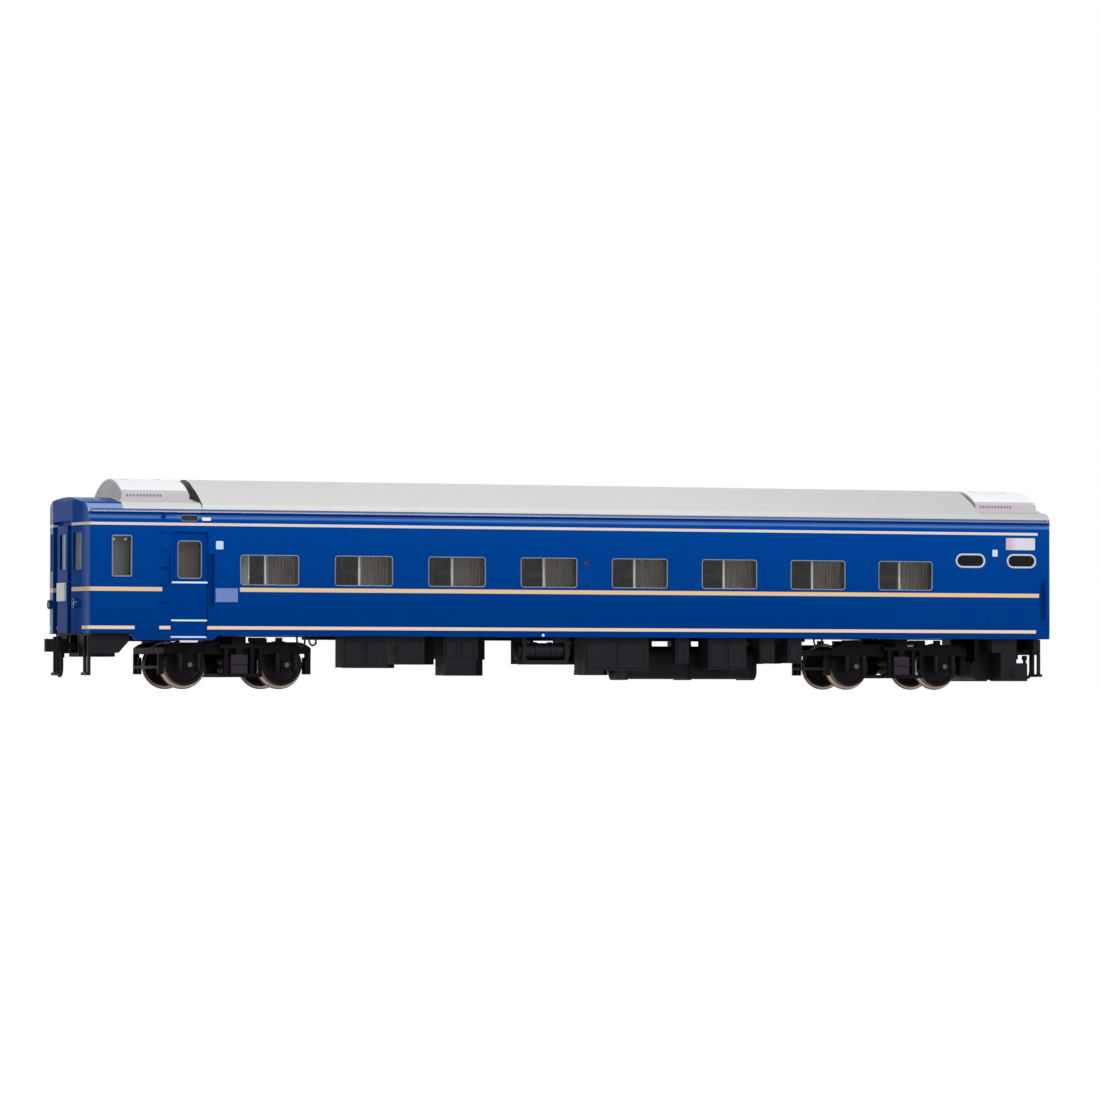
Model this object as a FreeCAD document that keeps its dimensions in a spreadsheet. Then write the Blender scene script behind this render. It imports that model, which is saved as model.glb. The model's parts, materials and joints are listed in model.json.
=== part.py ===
# A 1:80 scale model of a night-train sleeping coach with a guard's end, for 16.5 mm track.
# Millimetres, +Z up. X runs along the coach with the guard's end at -X, and the origin lies on the
# plane that the wheel flanges stand on, below the middle of the coach.
import FreeCAD, Part
import Sketcher
import math
import os

doc = FreeCAD.newDocument("sleeping_coach")
sheet = doc.addObject("Spreadsheet::Sheet", "Sizes")

# The driving dimensions. A _rise or _drop is measured from the part that the word before it rests on
# or hangs from, a _setback from that end of the body, and a _share is a part of another size.
SIZES = {
    # coach body, from the plan and from its sills upwards
    "body_length": 260.8,
    "body_width": 36.25,
    "wall_thickness": 1.0,
    "sill_inset": 1.1,
    "cant_inset": 0.75,
    "tumble_rise": 10.6,
    "side_rise": 14.0,
    "cant_rise": 6.4,
    "guard_sill_rise": 0.5,
    "door_sill_drop": 1.2,
    "door_sill_front_setback": 12.6,
    "door_sill_rear_setback": 35.0,
    "sill_ramp": 1.4,
    "facet_depth": 1.6,
    "facet_half_width": 9.0,
    "front_corner_radius": 1.5,
    "rear_corner_radius": 1.0,
    "hood_length": 10.5,
    "brow_radius": 1.7,
    "gutter_front_setback": 2.8,
    "gutter_height": 0.5,
    "gutter_depth": 0.35,
    "gutter_spout_width": 0.5,
    "gutter_spout_height": 1.9,
    "cant_rib_drop": 1.6,
    "cant_rib_front_setback": 3.6,
    "cant_rib_height": 0.85,
    "cant_rib_proud": 0.55,
    "cut_margin": 2.0,
    "fit_gap": 0.1,
    # windows
    "window_count": 8,
    "window_front_setback": 40.25,
    "window_rear_setback": 33.78,
    "window_width": 15.2,
    "window_rise": 1.8,
    "window_height": 7.55,
    "window_corner_radius": 0.8,
    "guard_window_setback": 7.5,
    "guard_window_width": 5.1,
    "guard_window_rise": 3.7,
    "guard_window_height": 10.2,
    "guard_window_corner_radius": 0.5,
    "washroom_window_setback": 27.2,
    "washroom_window_spacing": 14.55,
    "washroom_window_width": 8.4,
    "washroom_window_rise": 7.8,
    "washroom_window_height": 3.7,
    "washroom_window_corner_radius": 1.8,
    "glass_thickness": 0.8,
    "glass_recess": 0.35,
    "glass_margin": 1.6,
    # entrance doors
    "door_setback": 22.7,
    "door_width": 9.35,
    "door_foot_rise": 0.6,
    "door_top_drop": 5.6,
    "door_gap": 0.08,
    "door_corner_radius": 0.6,
    "door_recess": 0.4,
    "door_window_side": 1.55,
    "door_window_rise": 3.3,
    "door_window_height": 9.4,
    "door_window_corner_radius": 0.9,
    "door_rib_width": 0.35,
    "door_rib_proud": 0.15,
    "door_upper_rib_rise": 2.2,
    "door_lower_rib_rise": 3.5,
    "door_step_width": 4.4,
    "door_step_depth": 0.8,
    "door_step_thickness": 0.5,
    # handrails and their niches
    "rail_radius": 0.22,
    "rail_stand_radius": 0.17,
    "rail_standoff": 0.55,
    "rail_offset": 0.3,
    "rail_rise": 2.5,
    "rail_length": 7.0,
    "niche_width": 1.3,
    "niche_depth": 0.55,
    "niche_offset": 0.2,
    "niche_drop": 4.1,
    "niche_height": 13.5,
    "rear_niche_setback": 3.2,
    "rear_niche_rise": 4.2,
    "rear_niche_height": 10.0,
    # ladder irons beside the guard's window, one above the other
    "iron_count": 5,
    "iron_setback": 19.7,
    "iron_width": 2.05,
    "iron_depth": 0.5,
    "iron_thickness": 0.3,
    "iron_rise": 8.15,
    "iron_spacing": 4.26,
    # signs and lamps on the sides
    "sign_setback": 12.9,
    "sign_width": 8.6,
    "sign_drop": 8.0,
    "sign_height": 3.4,
    "sign_depth": 0.45,
    "sign_corner_radius": 0.3,
    "side_lamp_setback": 25.05,
    "side_lamp_width": 4.5,
    "side_lamp_drop": 3.0,
    "side_lamp_height": 1.6,
    "side_lamp_depth": 0.6,
    # guard's end
    "gangway_drop": 2.8,
    "gangway_recess": 1.2,
    "gangway_half_width": 8.55,
    "gangway_corner_radius": 1.6,
    "gangway_door_width": 9.0,
    "gangway_door_drop": 1.2,
    "gangway_window_width": 5.2,
    "gangway_window_rise": 5.6,
    "gangway_window_height": 8.7,
    "gangway_window_corner_radius": 0.6,
    "tail_sign_width": 7.2,
    "tail_sign_drop": 2.1,
    "tail_sign_height": 4.5,
    "tail_sign_depth": 0.5,
    "tail_sign_corner_radius": 0.3,
    "end_window_inset": 3.9,
    "end_window_width": 4.8,
    "end_window_rise": 5.4,
    "end_window_height": 9.2,
    "end_window_corner_radius": 0.6,
    "end_glass_margin": 0.15,
    "tail_lamp_inset": 6.7,
    "tail_lamp_drop": 2.8,
    "tail_lamp_radius": 1.15,
    "tail_lamp_proud": 1.3,
    "tail_lamp_rim": 0.2,
    "tail_lamp_lens_sink": 0.35,
    # rear gangway
    "rear_door_width": 11.0,
    "rear_door_drop": 5.4,
    "bellows_width": 14.4,
    "bellows_drop": 3.8,
    "bellows_foot_drop": 0.2,
    "bellows_wall": 1.7,
    "bellows_depth": 2.1,
    "bellows_corner_radius": 2.2,
    "bellows_groove_start": 0.5,
    "bellows_groove_spacing": 0.8,
    "bellows_groove_width": 0.35,
    # roof, from the top of the sides upwards
    "roof_thickness": 0.8,
    "deck_shoulder_inset": 4.2,
    "deck_shoulder_rise": 1.75,
    "deck_rise": 1.45,
    "deck_shoulder_radius": 3.4,
    "dome_shoulder_inset": 1.2,
    "dome_shoulder_rise": 1.3,
    "dome_shoulder_radius": 2.6,
    "dome_waist_inset": 9.5,
    "dome_waist_rise": 4.45,
    "dome_rise": 2.15,
    "dome_flank_radius": 40.0,
    "dome_front_setback": 30.8,
    "dome_rear_setback": 19.8,
    # roof cooling units
    "cooler_length": 17.4,
    "cooler_width": 24.6,
    "cooler_foot_rise": 0.1,
    "cooler_shoulder_rise": 4.0,
    "cooler_rise": 3.8,
    "cooler_edge_radius": 0.5,
    "cooler_plinth_rise": 0.75,
    "cooler_plinth_proud": 0.6,
    "cooler_front_setback": 11.5,
    "cooler_rear_setback": 1.45,
    "louvre_count": 11,
    "louvre_width": 0.55,
    "louvre_spacing": 0.85,
    "louvre_depth": 0.4,
    "louvre_height": 0.6,
    "louvre_drop": 0.4,
    "louvre_margin": 1.2,
    "fan_radius": 3.6,
    "fan_spread": 4.2,
    "fan_depth": 0.7,
    "fan_hub_radius": 1.1,
    "fan_bar_width": 0.45,
    # floor and what stands on it
    "floor_thickness": 1.3,
    "floor_rise": 0.2,
    "floor_pad": 0.1,
    "floor_end_gap": 0.2,
    "centre_sill_gap": 21.4,
    "centre_sill_width": 3.0,
    "centre_sill_depth": 1.0,
    "saloon_floor_thickness": 0.8,
    "room_front_setback": 4.4,
    "room_rear_setback": 2.4,
    "room_gap": 0.1,
    "guard_room_wall_setback": 20.6,
    "partition_thickness": 0.7,
    "partition_drop": 3.0,
    "corridor_depth": 9.3,
    "berth_gap_share": 0.257,
    "berth_width_share": 0.371,
    "berth_lag_share": 0.371,
    "lower_berth_rise": 4.7,
    "upper_berth_rise": 14.5,
    "berth_thickness": 1.4,
    "curtain_thickness": 0.6,
    "curtain_drop": 1.8,
    "curtain_fold": 0.45,
    "curtain_fold_count": 9,
    "washroom_wall_setback": 29.4,
    "vestibule_setback": 18.4,
    "vestibule_length": 14.5,
    # bogies, from the rail head upwards
    "bogie_setback": 41.05,
    "axle_spacing": 25.0,
    "tread_diameter": 10.5,
    "flange_depth": 0.8,
    "flange_thickness": 0.75,
    "wheel_width": 2.7,
    "back_to_back_width": 14.4,
    "tyre_thickness": 0.55,
    "wheel_dish": 0.7,
    "wheel_rim": 0.6,
    "flange_round_radius": 0.25,
    "tread_cone_height": 0.1,
    "axle_shoulder_gap": 0.3,
    "hub_radius": 1.5,
    "hub_proud": 0.25,
    "axle_radius": 1.0,
    "axle_point_radius": 0.75,
    "axle_point_length": 1.0,
    "bearing_clearance": 0.06,
    "bogie_length": 38.0,
    "side_frame_offset": 12.0,
    "side_thickness": 1.5,
    "side_top_rise": 5.65,
    "side_web_depth": 3.0,
    "side_dip": 0.9,
    "side_dip_width": 8.0,
    "side_nose_length": 3.4,
    "side_nose_rise": 4.15,
    "side_nose_low_rise": 2.75,
    "side_nose_radius": 6.0,
    "side_flange_width": 0.35,
    "side_flange_sink": 0.3,
    "lug_offset": 5.2,
    "lug_width": 4.2,
    "lug_height": 1.1,
    "stay_offset": 10.9,
    "stay_width": 1.4,
    "horn_length": 7.7,
    "pedestal_width": 6.2,
    "pedestal_drop": 0.35,
    "pedestal_taper": 0.9,
    "axlebox_radius": 1.5,
    "axlebox_proud": 0.7,
    "axlebox_cap_radius": 0.95,
    "axlebox_cap_proud": 0.3,
    "keeper_width": 2.8,
    "keeper_height": 0.8,
    "keeper_proud": 0.6,
    "coil_radius": 0.85,
    "coil_offset": 2.25,
    "coil_count": 4,
    "coil_groove": 0.22,
    "coil_tuck": 0.3,
    "bolster_width": 3.4,
    "bolster_plate_radius": 4.6,
    "bolster_thickness": 2.3,
    "transom_thickness": 1.9,
    "transom_lift": 0.2,
    "transom_width": 1.6,
    "transom_offset": 5.4,
    "end_beam_width": 1.0,
    "end_beam_thickness": 1.5,
    "basket_width": 9.8,
    "basket_post_width": 0.9,
    "basket_post_offset": 3.35,
    "basket_depth": 1.3,
    "basket_gap": 0.1,
    "basket_tie_drop": 0.7,
    "spring_case_width": 4.2,
    "spring_case_rise": 2.45,
    "spring_case_ledge": 0.35,
    "spring_case_ledge_drop": 1.9,
    "plank_drop": 1.2,
    "plank_thickness": 0.9,
    "plank_nose_radius": 0.4,
    "damper_radius": 0.5,
    "damper_sleeve_radius": 0.64,
    "damper_offset": 5.6,
    "kingpin_radius": 1.5,
    "kingpin_head_radius": 2.6,
    "kingpin_head_thickness": 0.9,
    "kingpin_clearance": 0.08,
    "kingpin_slot_width": 0.4,
    "kingpin_grip": 1.0,
    "pivot_gap": 0.2,
    "shoe_thickness": 0.75,
    "shoe_gap": 0.35,
    "shoe_width": 1.6,
    "shoe_height": 4.2,
    "hanger_width": 0.7,
    "hanger_depth": 1.0,
    "hanger_length": 5.1,
    "hanger_gap": 0.3,
    # equipment below the floor; the runs along the coach are shares of the bogies' half spacing
    "gear_inset": 2.5,
    "far_gear_lag": 10.0,
    "far_filter_lag": 8.0,
    "far_fuse_lag": 5.2,
    "panel_proud": 0.25,
    "panel_margin": 0.55,
    "panel_corner_radius": 0.3,
    "latch_width": 0.5,
    "latch_height": 0.9,
    "latch_proud": 0.2,
    "battery_start_share": -0.7,
    "battery_run_share": 0.132,
    "battery_depth": 6.5,
    "battery_height": 8.0,
    "relay_start_share": -0.546,
    "relay_run_share": 0.085,
    "relay_depth": 9.5,
    "relay_height": 7.1,
    "charger_start_share": -0.404,
    "charger_run_share": 0.102,
    "charger_depth": 8.2,
    "charger_height": 5.8,
    "charger_tray_run_share": 0.0895,
    "charger_tray_height": 4.1,
    "tank_start_share": -0.184,
    "tank_run_share": 0.168,
    "tank_radius": 2.15,
    "tank_drop": 3.8,
    "tank_inset": 3.0,
    "tank_end_length": 0.7,
    "tank_strap_width": 0.8,
    "tank_strap_proud": 0.25,
    "tank_rack_run_share": 0.138,
    "tank_rack_start_share": 0.0157,
    "tank_rack_height": 7.0,
    "tank_rack_depth": 9.0,
    "tank_rack_wall": 1.0,
    "control_start_share": 0.019,
    "control_run_share": 0.1935,
    "control_depth": 7.9,
    "control_height": 8.5,
    "control_foot_start_share": 0.018,
    "control_foot_run_share": 0.058,
    "control_foot_height": 1.2,
    "cistern_start_share": 0.1835,
    "cistern_run_share": 0.4018,
    "cistern_width": 12.8,
    "cistern_drop": 2.3,
    "cistern_height": 8.4,
    "cistern_corner_radius": 2.2,
    "cistern_strap_width": 1.0,
    "cistern_strap_proud": 0.25,
    "valve_start_share": 0.2945,
    "valve_run_share": 0.0414,
    "valve_depth": 3.0,
    "valve_height": 6.7,
    "compressor_start_share": 0.395,
    "compressor_run_share": 0.1175,
    "compressor_depth": 7.2,
    "compressor_height": 8.2,
    "filter_start_share": 0.554,
    "filter_run_share": 0.046,
    "filter_depth": 4.0,
    "filter_height": 6.7,
    "fuse_start_share": 0.641,
    "fuse_run_share": 0.0436,
    "fuse_depth": 5.0,
    "fuse_height": 6.6,
    "waste_setback": 18.5,
    "waste_length": 9.6,
    "waste_width": 18.0,
    "waste_drop": 5.7,
    "waste_height": 5.1,
    "waste_corner_radius": 1.6,
    "waste_panel_gap": 2.8,
    "waste_upper_length": 7.0,
    "waste_upper_height": 3.7,
    "waste_middle_length": 4.5,
    "waste_middle_height": 7.4,
    "waste_lower_length": 7.6,
    "waste_lower_height": 4.7,
    "waste_cap_radius": 1.0,
    "waste_cap_proud": 0.4,
    # couplers, brake hoses and corner steps
    "coupler_overhang": 4.0,
    "coupler_drop": 2.6,
    "coupler_head_width": 6.2,
    "coupler_head_height": 3.2,
    "coupler_head_length": 4.6,
    "coupler_slot_length": 1.1,
    "coupler_neck_width": 4.0,
    "coupler_shank_width": 1.5,
    "coupler_shank_height": 1.6,
    "coupler_length": 13.0,
    "coupler_eye_radius": 1.7,
    "coupler_pin_radius": 0.8,
    "draft_box_width": 9.0,
    "draft_box_wall": 0.9,
    "draft_box_length": 9.2,
    "draft_box_back": 3.2,
    "draft_box_depth": 5.4,
    "buffer_beam_width": 32.0,
    "buffer_beam_thickness": 1.2,
    "buffer_beam_depth": 3.0,
    "buffer_beam_setback": 2.8,
    "beam_notch_width": 12.0,
    "skirt_length": 9.9,
    "skirt_depth": 4.5,
    "skirt_thickness": 3.0,
    "skirt_ramp": 2.7,
    "hose_radius": 0.42,
    "hose_offset": 6.3,
    "hose_standoff": 1.7,
    "hose_drop": 2.0,
    "hose_length": 8.1,
    "hose_bend_radius": 1.9,
    "hose_collar_radius": 0.7,
    "hose_collar_length": 1.2,
    "hose_hook_rise": 2.6,
    "corner_step_inset": 2.1,
    "corner_step_width": 4.3,
    "corner_step_height": 9.7,
    "corner_step_strap": 0.75,
    "corner_step_depth": 1.3,
}

for row, (alias, value) in enumerate(SIZES.items(), 1):
    sheet.set(f"A{row}", alias)
    sheet.set(f"B{row}", str(value))
    sheet.setAlias(f"B{row}", alias)
doc.recompute()


class Size:
    """A length that knows its number and the spreadsheet formula that gives it."""

    def __init__(self, value, formula):
        self.value = value
        self.formula = formula

    def _join(self, other, sign, value):
        text = other.formula if isinstance(other, Size) else str(other)
        return Size(value, f"({self.formula} {sign} {text})")

    def __add__(self, other):
        return self._join(other, "+", self.value + number(other))

    def __sub__(self, other):
        return self._join(other, "-", self.value - number(other))

    def __mul__(self, other):
        return self._join(other, "*", self.value * number(other))

    def __truediv__(self, other):
        return self._join(other, "/", self.value / number(other))

    def __neg__(self):
        return Size(-self.value, f"(0 - {self.formula})")


def number(item):
    return item.value if isinstance(item, Size) else item


class Named:
    """Gives each spreadsheet cell by its alias."""

    def __getattr__(self, alias):
        return Size(SIZES[alias], "Sizes." + alias)


S = Named()
ZERO = Size(0.0, "0")
AXES = {
    "x": FreeCAD.Rotation(FreeCAD.Vector(0, 1, 0), 90),
    "y": FreeCAD.Rotation(FreeCAD.Vector(1, 0, 0), -90),
    "z": FreeCAD.Rotation(),
}
PLANES = {
    "XY": (FreeCAD.Rotation(), (0, 0, 1), "z"),
    "XZ": (FreeCAD.Rotation(FreeCAD.Vector(1, 0, 0), 90), (0, 1, 0), "y"),
    "YZ": (FreeCAD.Rotation(FreeCAD.Vector(1, 1, 1), 120), (1, 0, 0), "x"),
}
LENGTHWAYS = (1, 0, 0)
CROSSWAYS = (0, 1, 0)
nodes = {}
used = {}

# Places that several parts share, all worked out from the driving dimensions
half_length = S.body_length / 2
half_width = S.body_width / 2
wall = S.wall_thickness
rail = S.flange_depth
axle_z = rail + S.tread_diameter / 2
side_top = axle_z + S.side_top_rise
side_low = side_top - S.side_web_depth
bolster_low = side_top - S.side_dip
bolster_top = bolster_low + S.bolster_thickness
boss_low = bolster_top + S.pivot_gap
floor_low = boss_low + S.floor_pad
floor_high = floor_low + S.floor_thickness
sill_z = floor_low - S.floor_rise
guard_sill_z = sill_z + S.guard_sill_rise
door_sill_z = sill_z - S.door_sill_drop
tumble_z = sill_z + S.tumble_rise
crown_z = tumble_z + S.side_rise
cant_z = crown_z + S.cant_rise
cant_half = half_width - S.cant_inset
floor_half = half_width - S.sill_inset - wall
deck_z = cant_z + S.deck_shoulder_rise + S.deck_rise
dome_z = cant_z + S.dome_shoulder_rise + S.dome_waist_rise + S.dome_rise
hood_end = -half_length + S.hood_length
window_count = int(SIZES["window_count"])
window_x = -half_length + S.window_front_setback
window_run = S.body_length - S.window_front_setback - S.window_rear_setback
window_spacing = (window_run - S.window_width) / (window_count - 1)
window_z = tumble_z + S.window_rise
guard_window_x = -half_length + S.guard_window_setback
washroom_window_x = half_length - S.washroom_window_setback
door_x = -half_length + S.door_setback
door_z = door_sill_z + S.door_foot_rise
door_top = cant_z - S.door_top_drop
door_window_x = door_x + S.door_window_side
door_window_width = S.door_width - S.door_window_side * 2
door_window_z = tumble_z + S.door_window_rise
sign_x = half_length - S.sign_setback
recess_x = -half_length + S.gangway_recess
gangway_top = cant_z - S.gangway_drop
gangway_door_top = gangway_top - S.gangway_door_drop
gangway_window_z = tumble_z + S.gangway_window_rise
end_window_y = half_width - S.end_window_inset - S.end_window_width
end_window_z = tumble_z + S.end_window_rise
lamp_y = half_width - S.tail_lamp_inset
lamp_z = tumble_z - S.tail_lamp_drop
lamp_x = -half_length - S.tail_lamp_proud + S.facet_depth / 2
lamp_length = S.tail_lamp_proud + wall * 2
bogie_x = half_length - S.bogie_setback
axle_x = S.axle_spacing / 2
gear_y = half_width - S.gear_inset
coupler_x = half_length + S.coupler_overhang
pivot_x = coupler_x - S.coupler_length
beam_x = half_length - S.buffer_beam_setback

# Building blocks


def unique(stem):
    used[stem] = used.get(stem, 0) + 1
    return f"{stem}_{used[stem]}"


def bind(item, path, size):
    item.setExpression(path, size.formula)


def place(item, corner, rotation=None):
    if rotation is not None:
        item.Placement = FreeCAD.Placement(FreeCAD.Vector(), rotation)
    for axis, size in zip("xyz", corner):
        bind(item, "Placement.Base." + axis, size)


def across(width):
    """The stretch of that width with its middle at zero."""
    return (-width / 2, width / 2)


def about(centre, width):
    return (centre - width / 2, centre + width / 2)


def onward(start, length):
    return (start, start + length)


def grown(span, extra):
    return (span[0] - extra, span[1] + extra)


def box(x, y, z):
    """A block between pairs of coordinates (low, high)."""
    item = doc.addObject("Part::Box", unique("Block"))
    bind(item, "Length", x[1] - x[0])
    bind(item, "Width", y[1] - y[0])
    bind(item, "Height", z[1] - z[0])
    place(item, (x[0], y[0], z[0]))
    return item


def cylinder(axis, radius, length, start):
    item = doc.addObject("Part::Cylinder", unique("Round"))
    bind(item, "Radius", radius)
    bind(item, "Height", length)
    place(item, start, AXES[axis])
    return item


def fuse(parts):
    if len(parts) == 1:
        return parts[0]
    item = doc.addObject("Part::MultiFuse", unique("Joined"))
    item.Shapes = parts
    return item


def cut(base, tools):
    item = doc.addObject("Part::Cut", unique("Carved"))
    item.Base = base
    item.Tool = fuse(tools)
    return item


def common(first, second):
    item = doc.addObject("Part::MultiCommon", unique("Shared"))
    item.Shapes = [first, second]
    return item


def mirror(source, normal=CROSSWAYS):
    """The source's reflection in the plane through the origin with that normal."""
    item = doc.addObject("Part::Mirroring", unique("Mirrored"))
    item.Source = source
    item.Normal = FreeCAD.Vector(*normal)
    return item


def both_sides(piece):
    return [piece, mirror(piece)]


def turned_about(piece):
    """The piece and its copy turned half a circle about the upright axis at the origin."""
    return [piece, mirror(mirror(piece), LENGTHWAYS)]


def copy_at(source, x):
    """A linked copy of the source, moved along the coach."""
    item = doc.addObject("Part::Compound", unique("Copy"))
    item.Links = [source]
    bind(item, "Placement.Base.x", x)
    return item


def rounded(base, radius, wanted):
    """Fillets the edges of the base that the test picks."""
    doc.recompute()
    item = doc.addObject("Part::Fillet", unique("Rounded"))
    item.Base = base
    chosen = [n for n, edge in enumerate(base.Shape.Edges, 1) if wanted(edge)]
    item.Edges = [(n, radius.value, radius.value) for n in chosen]
    return item


def along(axis):
    """A test for straight edges that run along X, Y or Z."""
    unit = {"x": (1, 0, 0), "y": (0, 1, 0), "z": (0, 0, 1)}[axis]

    def test(edge):
        if not isinstance(edge.Curve, Part.Line):
            return False
        return abs(abs(edge.Curve.Direction.dot(FreeCAD.Vector(*unit))) - 1) < 1e-6

    return test


def upper(axis, level):
    """A test for straight edges along an axis that lie above a level."""

    def test(edge):
        return along(axis)(edge) and edge.CenterOfMass.z > level.value

    return test


def curved(edge):
    return not isinstance(edge.Curve, Part.Line)


def outline(plane, steps):
    """A closed sketch: each step is a corner (u, v), or (u, v, radius) where an arc leads to it."""
    sketch = doc.addObject("Sketcher::SketchObject", unique("Profile"))
    points = [FreeCAD.Vector(step[0].value, step[1].value, 0) for step in steps]
    for n, step in enumerate(steps):
        start, end = points[n - 1], points[n]
        if len(step) == 2:
            sketch.addGeometry(Part.LineSegment(start, end))
        else:
            radius = step[2].value
            chord = end - start
            side = FreeCAD.Vector(-chord.y, chord.x, 0).normalize()
            drop = math.sqrt(radius**2 - (chord.Length / 2) ** 2)
            centre = (start + end) / 2 + side * drop
            first = math.atan2(start.y - centre.y, start.x - centre.x)
            last = math.atan2(end.y - centre.y, end.x - centre.x)
            circle = Part.Circle(centre, FreeCAD.Vector(0, 0, 1), radius)
            sketch.addGeometry(Part.ArcOfCircle(circle, first, last))
    count = len(steps)
    for n in range(count):
        sketch.addConstraint(Sketcher.Constraint("Coincident", n, 2, (n + 1) % count, 1))
    for n, step in enumerate(steps):
        for kind, size in (("DistanceX", step[0]), ("DistanceY", step[1])):
            spot = sketch.addConstraint(Sketcher.Constraint(kind, -1, 1, n, 2, size.value))
            bind(sketch, f"Constraints[{spot}]", size)
        if len(step) == 3:
            spot = sketch.addConstraint(Sketcher.Constraint("Radius", n, step[2].value))
            bind(sketch, f"Constraints[{spot}]", step[2])
    sketch.Placement = FreeCAD.Placement(FreeCAD.Vector(), PLANES[plane][0])
    return sketch


def prism(plane, steps, span):
    """A profile extruded along its plane's normal between two coordinates."""
    axis, letter = PLANES[plane][1:]
    item = doc.addObject("Part::Extrusion", unique("Prism"))
    item.Base = outline(plane, steps)
    item.DirMode = "Custom"
    item.Dir = FreeCAD.Vector(*axis)
    item.Solid = True
    bind(item, "LengthFwd", span[1] - span[0])
    bind(item, "Placement.Base." + letter, span[0])
    return item


def turned(plane, steps, axis, start):
    """A profile turned about an axis through a start point, drawn with that axis at zero."""
    item = doc.addObject("Part::Revolution", unique("Turned"))
    item.Source = outline(plane, steps)
    item.Axis = FreeCAD.Vector(*axis)
    item.Base = FreeCAD.Vector(0, 0, 0)
    item.Angle = 360
    item.Solid = True
    place(item, start)
    return item


def arc_radius(inset, run):
    """The radius of an arc that leaves a straight line and moves off it by the inset over that run."""
    return (inset * inset + run * run) / (inset * 2)


def node(label, item):
    item.Label = label
    nodes[label] = item
    return item


def pair(label, piece):
    """A node of two alike pieces, one on each side of the coach."""
    return node(label, fuse(both_sides(piece)))

# Coach shell


def wall_section(inset):
    """The body's cross-section, from the door sill to the cant rail, drawn inwards by the inset."""
    sill = half_width - S.sill_inset - inset
    side = half_width - inset
    cant = cant_half - inset
    low_radius = arc_radius(S.sill_inset, tumble_z - door_sill_z)
    top_radius = arc_radius(S.cant_inset, S.cant_rise)
    return [
        (sill, door_sill_z),
        (side, tumble_z, low_radius),
        (side, crown_z),
        (cant, cant_z, top_radius),
        (-cant, cant_z),
        (-side, crown_z, top_radius),
        (-side, tumble_z),
        (-sill, door_sill_z, low_radius),
    ]


def low_roof_section(inset):
    """The low roof over both ends: a flat crown between rounded shoulders."""
    cant = cant_half - inset
    shoulder = half_width - S.deck_shoulder_inset - inset
    edge = cant_z + S.deck_shoulder_rise - inset
    crown = arc_radius(S.deck_rise, half_width - S.deck_shoulder_inset)
    return [
        (cant, cant_z),
        (shoulder, edge, S.deck_shoulder_radius),
        (-shoulder, edge, crown),
        (-cant, cant_z, S.deck_shoulder_radius),
    ]


def dome_section(inset):
    """The main roof: steep flanks that run into a round crown."""
    cant = cant_half - inset
    shoulder = half_width - S.dome_shoulder_inset - inset
    edge = cant_z + S.dome_shoulder_rise - inset
    waist = half_width - S.dome_waist_inset - inset / 2
    rise = edge + S.dome_waist_rise
    crown = arc_radius(S.dome_rise, half_width - S.dome_waist_inset)
    return [
        (cant, cant_z),
        (shoulder, edge, S.dome_shoulder_radius),
        (waist, rise, S.dome_flank_radius),
        (-waist, rise, crown),
        (-shoulder, edge, S.dome_flank_radius),
        (-cant, cant_z, S.dome_shoulder_radius),
    ]


def plan_section(inset):
    """The body's outline from above, with its three-facet guard's end."""
    front = half_length - inset
    corner = half_length - S.facet_depth - inset
    side = half_width - inset
    nose = S.facet_half_width
    return [
        (-front, -nose),
        (-corner, -side),
        (front, -side),
        (front, side),
        (-corner, side),
        (-front, nose),
    ]


def plan_prism(inset, span):
    """The outline from above as a block, with its four upright corners rounded."""
    block = prism("XY", plan_section(inset), span)
    flank = number(S.facet_half_width + S.cut_margin)

    def at_corner(edge, front):
        if not along("z")(edge) or abs(edge.CenterOfMass.y) < flank:
            return False
        return (edge.CenterOfMass.x < 0) == front

    block = rounded(block, S.front_corner_radius - inset / 2, lambda edge: at_corner(edge, True))
    return rounded(block, S.rear_corner_radius - inset / 2, lambda edge: at_corner(edge, False))


def window(x, z, width, height, radius, depth):
    """A round-cornered block through both side walls, out to that distance from the middle."""
    block = box(onward(x, width), (-depth, depth), onward(z, height))
    return rounded(block, radius, along("y"))


def side_windows(depth):
    """Blocks the shape of every side window: eight corridor bays, the guard's and two washrooms'."""
    blocks = []
    for n in range(window_count):
        x = window_x + window_spacing * n
        size = (S.window_width, S.window_height, S.window_corner_radius)
        blocks.append(window(x, window_z, *size, depth))
    size = (S.guard_window_width, S.guard_window_height, S.guard_window_corner_radius)
    blocks.append(window(guard_window_x, tumble_z + S.guard_window_rise, *size, depth))
    size = (S.washroom_window_width, S.washroom_window_height, S.washroom_window_corner_radius)
    for n in range(2):
        x = washroom_window_x + S.washroom_window_spacing * n
        blocks.append(window(x, tumble_z + S.washroom_window_rise, *size, depth))
    return blocks


def sill_cutter():
    """What lies below the stepped bottom edge of the sides."""
    ends = half_length + S.cut_margin
    under = door_sill_z - S.cut_margin
    step_front = -half_length + S.door_sill_front_setback
    step_rear = -half_length + S.door_sill_rear_setback
    steps = [
        (-ends, under),
        (ends, under),
        (ends, sill_z),
        (step_rear, sill_z),
        (step_rear - S.sill_ramp, door_sill_z),
        (step_front + S.sill_ramp, door_sill_z),
        (step_front, guard_sill_z),
        (-ends, guard_sill_z),
    ]
    return prism("XZ", steps, grown((-half_width, half_width), S.cut_margin))


def door_leaf(gap, depth):
    """The door's outline as a block through both sides, round at its two upper corners."""
    span = onward(door_x + gap, S.door_width - gap * 2)
    block = box(span, (-depth, depth), (door_z, door_top - gap))
    return rounded(block, S.door_corner_radius, upper("y", crown_z - S.side_rise / 2))


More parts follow.
